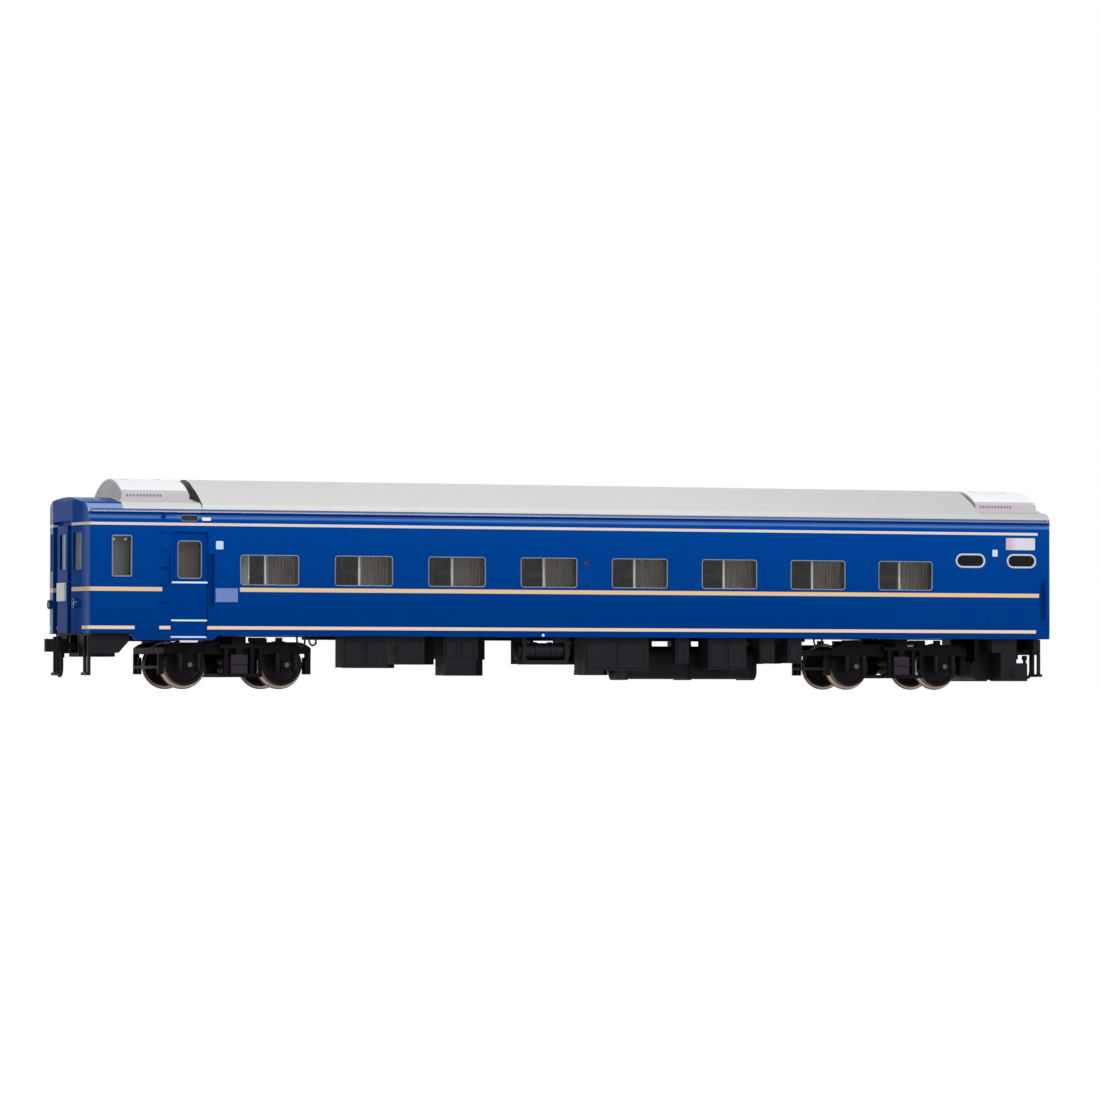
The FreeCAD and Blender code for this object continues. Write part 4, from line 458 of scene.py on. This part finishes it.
def blackPlastic(name, dark, light, upwardTone, gloss, lids=False):
    # near-black moulding with a painted highlight: a little greyer on what faces up
    made = Finish(name, Roughness=0.5, Specular_IOR_Level=gloss)
    tone = made.mix(made.noise(90, 4.0), dark, light)
    litFromAbove = made.rescale(made.facing()[2], *upwardHighlight["facing"], 0.0, upwardHighlight["share"])
    tone = made.mix(litFromAbove, tone, upwardTone)
    if lids:
        # a painted glint on the axle lids, and the air spring's case a shade paler than the frame
        # round it
        axes = made.axes()
        out = made.math("ABSOLUTE", axes[1])
        outer = made.math("GREATER_THAN", out, bogieMarks["outer"] * mm)
        middle = made.math("LESS_THAN", made.fromAxle(), bogieMarks["lid"] * mm)
        tone = made.mix(made.times(outer, middle), tone, bogieMarks["lidGlint"])
        off = made.offFrom(made.math("ABSOLUTE", axes[0]), bogieMarks["middle"] * mm)
        case = made.math("LESS_THAN", off, bogieMarks["caseReach"] * mm)
        case = made.times(outer, case, made.between(axes[2], bogieMarks["caseZ"]))
        tone = made.mix(case, tone, bogieMarks["caseTone"])
    made.paint(tone)
    made.grain(0.44, 0.6, patches=600, scale=1100, depth=0.012)
    return made


signBox = {
    "dark": colour(204, 204, 216),
    "light": colour(218, 218, 228),
    "wash": colour(206, 156, 176),
    "washX": (118.3, 120.6),
    "washShare": 0.75,
}


def signFace():
    # a blank box front: pale, with a soft pink wash at its guard's end
    made = Finish("sign_pale", Roughness=0.35, Specular_IOR_Level=0.3)
    start, stop = signBox["washX"]
    wash = made.rescale(made.axes()[0], start * mm, stop * mm, signBox["washShare"], 0.0)
    tone = made.mix(made.noise(200, 2.0), signBox["dark"], signBox["light"])
    made.paint(made.mix(wash, tone, signBox["wash"]))
    made.grain(0.3, 0.42, strength=0.3)
    return made


def lensGlass(name, dark, light):
    made = Finish(name, Roughness=0.08, IOR=1.45)
    made.paint(made.mix(made.noise(900, 2.0), dark, light))
    made.bump(made.noise(2000, 1.0), 0.01, 0.3)
    return made


doorBlue = doorPaint()
fittingBlue = bluePaint("fitting_blue", shell=False)
bogieBlack = blackPlastic(
    "bogie_black", colour(9, 8, 9), colour(18, 16, 18), colour(40, 37, 39), 0.06, lids=True
)
chassis = blackPlastic(
    "chassis_black", colour(16, 13, 18), colour(31, 26, 33), colour(54, 49, 55), 0.12
)
rubber = plainPaint("bellows_black", colour(14, 14, 15), colour(26, 26, 28), 0.62)
silver = plainPaint("frame_silver", colour(176, 184, 200), colour(206, 212, 224), 0.28, 0.6)
dimSilver = plainPaint("frame_dim", colour(112, 116, 128), colour(142, 146, 158), 0.3, 0.5)
postWhite = plainPaint("post_white", colour(232, 232, 230), colour(248, 248, 246), 0.3)
lavender = plainPaint("plate_lavender", colour(102, 122, 184), colour(114, 134, 194), 0.4)
palePlate = plainPaint("plate_pale", colour(186, 208, 240), colour(206, 222, 246), 0.4)
creamLamp = plainPaint("lamp_cream", colour(240, 222, 196), colour(250, 236, 214), 0.3)
darkSlot = plainPaint("slot_dark", colour(16, 16, 20), colour(34, 32, 38), 0.3)
lampRed = plainPaint("lamp_red", colour(52, 16, 54), colour(70, 24, 66), 0.25)
signPale = signFace()
blindGrey = plainPaint("blind_grey", colour(46, 46, 50), colour(62, 61, 62), 0.5)
blindGreen = plainPaint("blind_green", colour(84, 104, 108), colour(112, 130, 132), 0.5)
lockerGrey = plainPaint("locker_grey", colour(82, 84, 85), colour(100, 103, 104), 0.5)
entryCloth = curtainCloth("curtain_entry", colour(48, 38, 32), colour(104, 91, 81))
paleCloth = curtainCloth("curtain_pale", colour(124, 123, 125), colour(154, 153, 156))
lampLens = lensGlass("lamp_lens", colour(14, 44, 112), colour(70, 104, 176))

bySlot = {
    "blue_paint": bluePaint("blue_paint"),
    "silver_paint": roofPaint(),
    "pale_silver_paint": unitPaint(),
    "clear_glazing": clearPane("clear_glazing", colour(238, 242, 244)),
    "white_paint": plainPaint("white_paint", colour(208, 207, 207), colour(226, 225, 224), 0.45),
    "lamp_blue": plainPaint("lamp_blue", colour(0, 40, 104), colour(0, 54, 126), 0.25),
    "interior_beige": plainPaint(
        "interior_beige", colour(168, 158, 146), colour(188, 178, 164), 0.55
    ),
    "curtain_brown": curtainCloth("curtain_brown", colour(128, 117, 108), colour(164, 152, 141)),
    "tyre_steel": turnedSteel(
        "tyre_steel", colour(92, 76, 64), colour(142, 122, 104), 0.3, wheel=True
    ),
    "screw_steel": turnedSteel("screw_steel", colour(140, 140, 142), colour(190, 190, 192), 0.3),
    "bellows_black": rubber,
    "chassis_black": chassis,
}
for part in frame["record"]["subparts"]:
    dress(bySlot[part["material_slot"]], part["node"])
dress(doorBlue, "entrance_door_far", "entrance_door_near")
dress(fittingBlue, "gangway_door_front", "gangway_door_rear", "handrails")
for name in frame["nodes"]:
    if "_bogie_" in name and not name.endswith(("_tyres", "_axle")):
        dress(bogieBlack, name)
print("finishes are on", len(frame["nodes"]), "nodes")

# Trees that make the trim

numberInput = "NodeSocketFloat"
countInput = "NodeSocketInt"
placeInput = "NodeSocketVector"
sharedInputs = [("Count", countInput), ("Step", placeInput), ("Start", placeInput)]
fineness = {"corner": 6, "rod": 16, "lensRound": 24, "lensUp": 12, "pipeRound": 3, "pipeAlong": 6}
standing = (0.0, 0.0, 0.0)
sideways = (math.pi / 2, 0.0, 0.0)


def numbers(*labels):
    return [(label, numberInput) for label in labels]


def newTree(name, inputs):
    tree = bpy.data.node_groups.new(name, "GeometryNodeTree")
    for label, kind in inputs + sharedInputs:
        tree.interface.new_socket(label, in_out="INPUT", socket_type=kind)
    tree.interface.new_socket("Finish", in_out="INPUT", socket_type="NodeSocketMaterial")
    tree.interface.new_socket("Geometry", in_out="OUTPUT", socket_type="NodeSocketGeometry")
    return tree, addNode(tree, "NodeGroupInput").outputs


def closeTree(tree, given, shape):
    # repeats the shape along a line, makes it real and paints it, as every tree here ends
    line = addNode(
        tree,
        "GeometryNodeMeshLine",
        {"Count": given["Count"], "Offset": given["Step"], "Start Location": given["Start"]},
    )
    placed = addNode(
        tree, "GeometryNodeInstanceOnPoints", {"Points": line.outputs[0], "Instance": shape}
    )
    real = addNode(tree, "GeometryNodeRealizeInstances", {"Geometry": placed.outputs[0]})
    painted = addNode(
        tree, "GeometryNodeSetMaterial", {"Geometry": real.outputs[0], "Material": given["Finish"]}
    )
    addNode(tree, "NodeGroupOutput", {0: painted.outputs[0]})
    return tree


def roundedOutline(tree, given):
    outline = addNode(
        tree,
        "GeometryNodeCurvePrimitiveQuadrilateral",
        {"Width": given["Width"], "Height": given["Height"]},
    )
    return addNode(
        tree,
        "GeometryNodeFilletCurve",
        {"Curve": outline.outputs[0], "Radius": given["Corner"], "Count": fineness["corner"]},
        mode="POLY",
    ).outputs[0]


def turned(tree, shape, turn):
    return addNode(
        tree, "GeometryNodeTransform", {"Geometry": shape, "Rotation": turn}
    ).outputs[0]


def frameTree():
    # a window frame: a bar swept round a round-cornered opening and set upright
    tree, given = newTree("windowFrames", numbers("Width", "Height", "Corner", "Bar", "Depth"))
    bar = addNode(
        tree,
        "GeometryNodeCurvePrimitiveQuadrilateral",
        {"Width": given["Bar"], "Height": given["Depth"]},
    )
    swept = addNode(
        tree, "GeometryNodeCurveToMesh", {0: roundedOutline(tree, given), 1: bar.outputs[0]}
    )
    return closeTree(tree, given, turned(tree, swept.outputs[0], sideways))


def plateTree():
    # a thin round-cornered plate, turned by the Turn input
    inputs = numbers("Width", "Height", "Corner", "Depth") + [("Turn", placeInput)]
    tree, given = newTree("sidePlates", inputs)
    face = addNode(
        tree, "GeometryNodeFillCurve", {0: roundedOutline(tree, given)}, mode="NGONS"
    ).outputs[0]
    grown = addNode(
        tree,
        "GeometryNodeExtrudeMesh",
        {"Mesh": face, "Offset Scale": given["Depth"], "Individual": False},
    ).outputs[0]
    back = addNode(tree, "GeometryNodeFlipFaces", {0: face}).outputs[0]
    both = addNode(tree, "GeometryNodeJoinGeometry")
    tree.links.new(grown, both.inputs[0])
    tree.links.new(back, both.inputs[0])
    closed = addNode(
        tree, "GeometryNodeMergeByDistance", {"Geometry": both.outputs[0], "Distance": 0.001 * mm}
    )
    return closeTree(tree, given, turned(tree, closed.outputs[0], given["Turn"]))


def rodTree():
    # round rods, set along Z or turned by the Turn input
    tree, given = newTree("rods", numbers("Radius", "Length") + [("Turn", placeInput)])
    rod = addNode(
        tree,
        "GeometryNodeMeshCylinder",
        {"Vertices": fineness["rod"], "Radius": given["Radius"], "Depth": given["Length"]},
    )
    return closeTree(tree, given, turned(tree, rod.outputs[0], given["Turn"]))


def lensTree():
    # a shallow round lens that bulges along X
    tree, given = newTree("lenses", numbers("Radius", "Bulge"))
    ball = addNode(
        tree,
        "GeometryNodeMeshUVSphere",
        {
            "Segments": fineness["lensRound"],
            "Rings": fineness["lensUp"],
            "Radius": given["Radius"],
        },
    )
    share = addNode(
        tree, "ShaderNodeMath", {0: given["Bulge"], 1: given["Radius"]}, operation="DIVIDE"
    )
    squash = addNode(tree, "ShaderNodeCombineXYZ", {0: share.outputs[0], 1: 1.0, 2: 1.0})
    flat = addNode(
        tree, "GeometryNodeTransform", {"Geometry": ball.outputs[0], "Scale": squash.outputs[0]}
    )
    return closeTree(tree, given, flat.outputs[0])


trees = {"frames": frameTree(), "plates": plateTree(), "rods": rodTree(), "lenses": lensTree()}

# What turns trees, profiles and routes into pieces


def keep(name, mesh, body):
    piece = bpy.data.objects.new(name, mesh)
    bpy.context.scene.collection.objects.link(piece)
    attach(piece, body)


def baked(name, holder):
    # what an object's modifier or bevel makes of it, as a plain mesh; the object goes
    ready = holder.evaluated_get(bpy.context.evaluated_depsgraph_get())
    mesh = bpy.data.meshes.new_from_object(ready)
    mesh.name = name
    bpy.data.objects.remove(holder)
    return mesh


def grow(name, kind, values, finish, body="coach_body", turn=sideways):
    # runs a tree once on an empty object and keeps what it makes
    tree = trees[kind]
    holder = bpy.data.objects.new(name + "Maker", bpy.data.meshes.new(name + "Maker"))
    bpy.context.scene.collection.objects.link(holder)
    maker = holder.modifiers.new("maker", "NODES")
    maker.node_group = tree
    values = {
        "Count": 1,
        "Step": (0.0, 0.0, 0.0),
        "Turn": turn,
        "Finish": finish.material,
        **values,
    }
    for item in tree.interface.items_tree:
        if item.item_type == "SOCKET" and item.in_out == "INPUT":
            maker[item.identifier] = values[item.name]
    mesh = baked(name, holder)
    shape = bmesh.new()
    shape.from_mesh(mesh)
    bmesh.ops.recalc_face_normals(shape, faces=shape.faces)
    shape.to_mesh(mesh)
    shape.free()
    keep(name, mesh, body)


def sizes(**values):
    # millimetres to metres, for every input but counts
    made = {}
    for key, value in values.items():
        if key == "Count":
            made[key] = value
        elif isinstance(value, tuple):
            made[key] = tuple(float(v) * mm for v in value)
        else:
            made[key] = value * mm
    return made


def plateOn(name, side, plate, inner, finish):
    # a plate's middle is at its "x" and "z", and its inner face this far from the coach's
    # middle; it is extruded towards -Y, so it starts at the face nearer +Y
    values = sizes(
        Width=plate["width"],
        Height=plate["height"],
        Corner=plate["corner"],
        Depth=plate["depth"],
        Count=plate.get("count", 1),
        Step=(plate.get("step", 0), 0, 0),
        Start=(plate["x"], -inner if side < 0 else inner + plate["depth"], plate["z"]),
    )
    grow(name, "plates", values, finish)


def rodAt(name, rod, start, finish, turn=standing):
    values = sizes(
        Radius=rod["radius"],
        Length=rod["length"],
        Count=rod.get("count", 1),
        Step=(rod.get("step", 0), 0, 0),
        Start=start,
    )
    grow(name, "rods", values, finish, turn=turn)


def spun(name, profile, places, axis, finish, body, count=32):
    # turns a profile of (distance along, radius) pairs round an axis, once at each place
    shape = bmesh.new()
    for place in places:
        rings = []
        for reach, radius in profile:
            ring = []
            for step in range(count):
                angle = 2 * math.pi * step / count
                first, second = radius * math.cos(angle), radius * math.sin(angle)
                spot = (reach, first, second) if axis == "x" else (first, second, reach)
                ring.append(shape.verts.new([(s + p) * mm for s, p in zip(spot, place)]))
            rings.append(ring)
        for low, high in zip(rings, rings[1:]):
            for step in range(count):
                after = (step + 1) % count
                shape.faces.new((low[step], low[after], high[after], high[step])).smooth = True
        shape.faces.new(rings[0])
        shape.faces.new(rings[-1])
    bmesh.ops.recalc_face_normals(shape, faces=shape.faces)
    mesh = bpy.data.meshes.new(name)
    shape.to_mesh(mesh)
    shape.free()
    mesh.materials.append(finish.material)
    keep(name, mesh, body)


def piped(name, routes, radius, finish, body):
    # moulded pipes along smooth curves through a few points each
    line = bpy.data.curves.new(name, "CURVE")
    line.dimensions = "3D"
    line.bevel_depth = radius * mm
    line.bevel_resolution = fineness["pipeRound"]
    line.resolution_u = fineness["pipeAlong"]
    line.use_fill_caps = True
    for route in routes:
        spline = line.splines.new("NURBS")
        spline.points.add(len(route) - 1)
        for point, spot in zip(spline.points, route):
            point.co = (*(value * mm for value in spot), 1.0)
        spline.order_u = 3
        spline.use_endpoint_u = True
    holder = bpy.data.objects.new(name + "Maker", line)
    bpy.context.scene.collection.objects.link(holder)
    mesh = baked(name, holder)
    mesh.materials.clear()
    mesh.materials.append(finish.material)
    keep(name, mesh, body)


# Window frames, on both sides; "inset" is how far the bar's middle lies inside the side

sideY = 18.125
bayStep = 24.51
saloonWindows = {
    "x": -90.15, "step": bayStep, "count": 8, "width": 15.2, "height": 7.55, "low": 25.6,
    "corner": 0.8, "bar": 0.22, "depth": 0.46, "inset": 0.16,
}
guardWindow = {
    "x": -122.9, "width": 5.1, "height": 10.2, "low": 27.5,
    "corner": 0.5, "bar": 0.26, "depth": 0.5, "inset": 0.16,
}
washroomWindows = {
    "x": 103.2, "step": 14.55, "count": 2, "width": 8.4, "height": 3.7, "low": 31.6,
    "corner": 1.84, "bar": 0.46, "depth": 0.5, "inset": 0.14,
}
doorWindow = {
    "x": -106.15, "width": 6.25, "height": 9.4, "low": 27.1,
    "corner": 0.9, "bar": 0.24, "depth": 0.4, "inset": 0.54,
}
leastCorner = 0.1


def frameOn(name, side, window, metal):
    # the bar's outer edge meets the opening, so its middle line is half a bar inside it
    bar = window["bar"]
    middle = window["x"] + window["width"] / 2
    height = window["low"] + window["height"] / 2
    values = sizes(
        Width=window["width"] - bar,
        Height=window["height"] - bar,
        Corner=max(window["corner"] - bar / 2, leastCorner),
        Bar=bar,
        Depth=window["depth"],
        Count=window.get("count", 1),
        Step=(window.get("step", 0), 0, 0),
        Start=(middle, (sideY - window["inset"]) * side, height),
    )
    grow(name, "frames", values, metal)


for sideName, side in sides:
    frameOn(f"saloon_frames_{sideName}", side, saloonWindows, dimSilver)
    frameOn(f"guard_frame_{sideName}", side, guardWindow, dimSilver)
    frameOn(f"washroom_frames_{sideName}", side, washroomWindows, silver)
    frameOn(f"door_frame_{sideName}", side, doorWindow, dimSilver)
print("window frames are in")

# Plates, signs and small lamps on the sides

plateThick = 0.3
sidePlates = [  # name, X, low Z, width, height, corner, how far it stands out, finish
    ("front_square", -96.4, 34.4, 1.9, 2.05, 0.25, 0.05, palePlate),
    ("rear_square", 113.65, 34.6, 1.5, 1.75, 0.25, 0.05, palePlate),
    ("wide_plate", -96.45, 21.45, 5.7, 3.4, 0.12, 0.03, lavender),
    ("sign_front", 117.62, 36.32, 8.36, 3.16, 0.28, -0.22, signPale),
    ("door_lamp", -99.99, 41.4, 2.3, 0.8, 0.3, 0.02, creamLamp),
    ("sill_dot", -10.65, 13.3, 0.7, 0.7, 0.34, -0.7, postWhite),
]
for name, x, low, width, height, bend, proud, finish in sidePlates:
    plate = {
        "x": x + width / 2, "z": low + height / 2,
        "width": width, "height": height, "corner": bend, "depth": plateThick,
    }
    for sideName, side in sides:
        inner = sideY + proud - plateThick
        plateOn(f"{name}_{sideName}", side, plate, inner, finish)

lampSlot = {
    "x": -105.36, "width": 4.5, "height": 1.6, "low": 41.2,
    "corner": 0.74, "bar": 0.15, "depth": 0.3, "inset": 0.525,
}
slotLens = {
    "x": -103.11, "z": 42.0, "width": 4.0, "height": 1.1,
    "corner": 0.5, "depth": 0.3, "inner": 17.05,
}
callLamp = {"x": 0.98, "y": 18.025, "z": 31.9, "radius": 0.62, "length": 0.35}
cantPlug = {"x": -109.75, "y": 17.75, "z": 42.35, "radius": 0.6, "length": 0.7}
for sideName, side in sides:
    frameOn(f"lamp_slot_frame_{sideName}", side, lampSlot, dimSilver)
    inner = slotLens["inner"]
    plateOn(f"lamp_slot_lens_{sideName}", side, slotLens, inner, darkSlot)
    for name, rod, finish, slotName in (
        ("call_lamp", callLamp, lampRed, "clear_glazing"),
        ("cant_plug", cantPlug, doorBlue, "blue_paint"),
    ):
        start = (rod["x"], rod["y"] * side, rod["z"])
        rodAt(f"{name}_{sideName}", rod, start, finish, sideways)
print("plates and side lamps are on")

# Posts and hangings behind the glass

postLow, postHigh = 15.5, 40.6
postHeight = postHigh - postLow
postMiddle = postLow + postHeight / 2
# painted light: white posts stand where bright lines show in the windows; the bay posts stand for
# light seen through the far windows between the curtains, and the aisle posts and the first pole
# are painted highlights in the near windows
posts = [  # name, X and Y of the first, radius, how many, and how far apart
    ("aisle_light_posts", -82.29, -13.1, 0.3, 8, bayStep),
    ("bay_light_posts", -77.85, 14.4, 0.42, 8, bayStep),
    ("first_bay_light_pole", -86.6, -13.1, 0.2, 1, 0),
]
for name, x, y, radius, count, step in posts:
    rod = {"radius": radius, "length": postHeight, "count": count, "step": step}
    rodAt(name, rod, (x, y, postMiddle), postWhite)

hung = {"z": 27.9, "height": 25.6, "corner": 0.3, "depth": 0.4}  # from floor to ceiling
hangings = [  # name, middle in X, width, inner face from the coach's middle, finish, slot
    ("guard_locker", -120.0, 8.2, 13.2, lockerGrey, "interior_beige"),
    ("entry_curtain", -102.6, 7.6, 13.2, entryCloth, "curtain_brown"),
    ("first_bay_curtain", -88.5, 3.6, 13.0, paleCloth, "curtain_brown"),
]
for name, x, width, inner, finish, slotName in hangings:
    for sideName, side in sides:
        plate = {**hung, "x": x, "width": width}
        plateOn(f"{name}_{sideName}", side, plate, inner, finish)
print("posts and hangings stand in the bays")

# Blinds rest on the panes' inner faces, and studs are let into them

blinds = {
    "x": 107.4, "step": 14.55, "count": 2, "z": 33.45,
    "width": 9.6, "height": 4.9, "corner": 2.2, "depth": 0.3,
}
studs = {
    "x": -122.0, "step": 2.9, "count": 2, "z": 36.7,
    "width": 0.55, "height": 0.55, "corner": 0.25, "depth": 0.25,
}
paneFaces = {"near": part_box("glazing_near")[1][1], "far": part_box("glazing_far")[0][1]}
for sideName, side in sides:
    pane = abs(paneFaces[sideName]) / mm
    inner = pane - blinds["depth"]
    plateOn(f"washroom_blinds_{sideName}", side, blinds, inner, blindGrey)
    plateOn(f"guard_window_studs_{sideName}", side, studs, pane, postWhite)
print("blinds and studs are behind the glass")

# The guard's end: a screen carries each wall of its recess on to the guard's room

screens = {
    "x": -127.1, "z": 33.8, "width": 2.6, "height": 12.4,
    "corner": 0.2, "depth": 0.8, "inner": 8.5,
}
for sideName, side in sides:
    inner = screens["inner"]
    plateOn(f"end_screen_{sideName}", side, screens, inner, blindGreen)

tailLenses = {"x": -130.55, "y": 11.425, "z": 21.0, "radius": 0.92, "bulge": 0.3}
values = sizes(
    Radius=tailLenses["radius"],
    Bulge=tailLenses["bulge"],
    Count=2,
    Step=(0, tailLenses["y"] * 2, 0),
    Start=(tailLenses["x"], -tailLenses["y"], tailLenses["z"]),
)
grow("tail_lenses", "lenses", values, lampLens)
print("the guard's end is fitted")

# Brake pipes moulded under the near sill: points in X and Z at one distance from the middle

airLoops = {
    "y": -16.6,
    "radius": 0.24,
    "routes": [
        [(-75.0, 13.6), (-75.1, 11.6), (-74.2, 10.5), (-73.0, 10.9), (-72.9, 12.4), (-72.9, 13.6)],
        [(-71.9, 13.6), (-72.0, 12.0), (-71.2, 10.7), (-70.0, 11.2), (-70.1, 12.6), (-70.4, 13.6)],
        [(64.0, 13.6), (63.9, 11.8), (65.0, 10.9), (66.2, 11.6), (66.3, 13.6)],
    ],
}
routes = [[(x, airLoops["y"], z) for x, z in route] for route in airLoops["routes"]]
piped("air_loops_near", routes, airLoops["radius"], chassis, "coach_body")
print("pipes hang under the sill")

# What fills the bogies between their sides

coils = {  # from the bogie's middle to an axle, then from the axle to a coil
    "axle": 12.5, "x": 2.35, "y": 13.95, "low": 4.9,
    "pitch": 0.5, "turns": 8, "wide": 0.62, "thin": 0.44, "widest": 0.35, "corners": 14,
}
coilShape = [(coils["low"], coils["thin"])]
for turn in range(coils["turns"]):
    rise = coils["low"] + turn * coils["pitch"]
    coilShape += [
        (rise + coils["pitch"] * coils["widest"], coils["wide"]),
        (rise + coils["pitch"], coils["thin"]),
    ]
airSprings = {
    "y": 8.2,
    "shape": [
        (3.9, 2.6), (4.2, 3.25), (4.9, 3.6), (5.6, 3.3), (6.0, 2.9), (6.4, 3.3),
        (7.1, 3.6), (7.8, 3.25), (8.2, 2.8), (8.5, 2.4), (10.8, 2.4),
    ],
}
cylinder = {
    "z": 6.6,
    "shape": [
        (-6.2, 1.2), (-6.1, 2.2), (-5.9, 2.3), (-5.4, 2.3), (-5.3, 2.0), (-1.0, 2.0), (-0.9, 2.15),
        (0.9, 2.15), (1.0, 2.0), (5.3, 2.0), (5.4, 2.3), (5.9, 2.3), (6.1, 2.2), (6.2, 1.2),
    ],
}
plank = {"low": 3.0, "high": 3.9, "width": 5.8, "reach": 27.2, "corner": 0.6}
for endName, end in (("front", -1), ("rear", 1)):
    body = f"{endName}_bogie"
    x = bogieMarks["middle"] * end
    corners = [
        (x + axle + gap, coils["y"] * side, 0)
        for axle in (-coils["axle"], coils["axle"])
        for gap in (-coils["x"], coils["x"])
        for side in (-1, 1)
    ]
    spun(
        f"{endName}_axle_springs", coilShape, corners, "z", chassis, body,
        coils["corners"],
    )
    places = [(x, airSprings["y"] * side, 0) for side in (-1, 1)]
    shape = airSprings["shape"]
    spun(f"{endName}_air_springs", shape, places, "z", rubber, body)
    places = [(x, 0, cylinder["z"])]
    shape = cylinder["shape"]
    spun(f"{endName}_brake_cylinder", shape, places, "x", bogieBlack, body)
    values = sizes(
        Width=plank["width"],
        Height=plank["reach"],
        Corner=plank["corner"],
        Depth=plank["high"] - plank["low"],
        Start=(x, 0, plank["low"]),
    )
    name = f"{endName}_spring_plank"
    grow(name, "plates", values, bogieBlack, body, standing)
print("the bogies are filled")

# Studio

studio = {
    "camera": (-488.19 * mm, -1304.47 * mm, 0.5 * mm),
    "aim": (-2.0 * mm, 0.0, 35.58 * mm),
    "roll": 0.0011,
    "sensor": 36,
    "focalPixels": 5460.9,
    "photoPixels": 1100,
    "clip": (0.001, 50),
    "air": 0.52,
    "keyPower": 22.0,
    "keyFrom": (0.35, -1.5, 1.25),
    "keyAim": (0, 0, 0.03),
    "keySize": 1.2,
    "floorReach": 12.0,
    "floorTone": colour(226, 226, 226),
    "floorGlow": 0.5,
}
white = (1, 1, 1, 1)


def aimed(item, source, target, roll=0.0):
    turn = (Vector(target) - Vector(source)).to_track_quat("-Z", "Y").to_matrix()
    item.location = source
    item.rotation_euler = (turn @ Matrix.Rotation(roll, 3, "Z")).to_euler()
    bpy.context.scene.collection.objects.link(item)
    return item


def addCamera():
    lens = bpy.data.cameras.new("shotLens")
    lens.lens = studio["sensor"] * studio["focalPixels"] / studio["photoPixels"]
    lens.sensor_width = studio["sensor"]
    lens.sensor_fit = "AUTO"
    lens.clip_start, lens.clip_end = studio["clip"]
    shot = bpy.data.objects.new("shotCamera", lens)
    bpy.context.scene.camera = aimed(shot, studio["camera"], studio["aim"], studio["roll"])


def addKeyLamp():
    lamp = bpy.data.lights.new("keyLamp", "AREA")
    lamp.energy = studio["keyPower"]
    lamp.shape = "DISK"
    lamp.size = studio["keySize"]
    aimed(bpy.data.objects.new("keyLamp", lamp), studio["keyFrom"], studio["keyAim"])


def seenDirectly(tree):
    # 1 for what the camera sees, also by reflection and through glass
    path = addNode(tree, "ShaderNodeLightPath").outputs
    glossy = addNode(
        tree,
        "ShaderNodeMath",
        {0: path["Is Camera Ray"], 1: path["Is Glossy Ray"]},
        operation="MAXIMUM",
    )
    through = addNode(
        tree,
        "ShaderNodeMath",
        {0: glossy.outputs[0], 1: path["Is Transmission Ray"]},
        operation="MAXIMUM",
    )
    return through.outputs[0]


def addAir():
    # a white background that lights the coach less than it shows
    world = bpy.data.worlds.new("studioAir")
    world.use_nodes = True
    tree = world.node_tree
    tree.nodes.clear()
    pale = addNode(tree, "ShaderNodeBackground", {"Color": white, "Strength": studio["air"]})
    plain = addNode(tree, "ShaderNodeBackground", {"Color": white, "Strength": 1.0})
    seen = seenDirectly(tree)
    mix = addNode(tree, "ShaderNodeMixShader", {0: seen, 1: pale.outputs[0], 2: plain.outputs[0]})
    addNode(tree, "ShaderNodeOutputWorld", {0: mix.outputs[0]})
    bpy.context.scene.world = world


def addFloor():
    mesh = bpy.data.meshes.new("floor")
    reach = studio["floorReach"]
    corners = [(-reach, -reach, 0), (reach, -reach, 0), (reach, reach, 0), (-reach, reach, 0)]
    mesh.from_pydata(corners, [], [(0, 1, 2, 3)])
    floor = bpy.data.objects.new("floor", mesh)
    bpy.context.scene.collection.objects.link(floor)
    made = Finish("floor_paper", Roughness=0.9, Base_Color=studio["floorTone"])
    glow = made.add("ShaderNodeEmission", {"Color": white, "Strength": studio["floorGlow"]})
    glowSeen = made.add(
        "ShaderNodeMixShader", {0: seenDirectly(made.tree), 2: glow.outputs[0]}
    )
    total = made.add(
        "ShaderNodeAddShader", {0: made.shader.outputs[0], 1: glowSeen.outputs[0]}
    )
    output = made.tree.nodes["Material Output"]
    made.tree.links.new(total.outputs[0], output.inputs[0])
    mesh.materials.append(made.material)


addCamera()
addKeyLamp()
addAir()
addFloor()
bpy.context.scene.view_settings.view_transform = "Standard"
print("the studio is set")
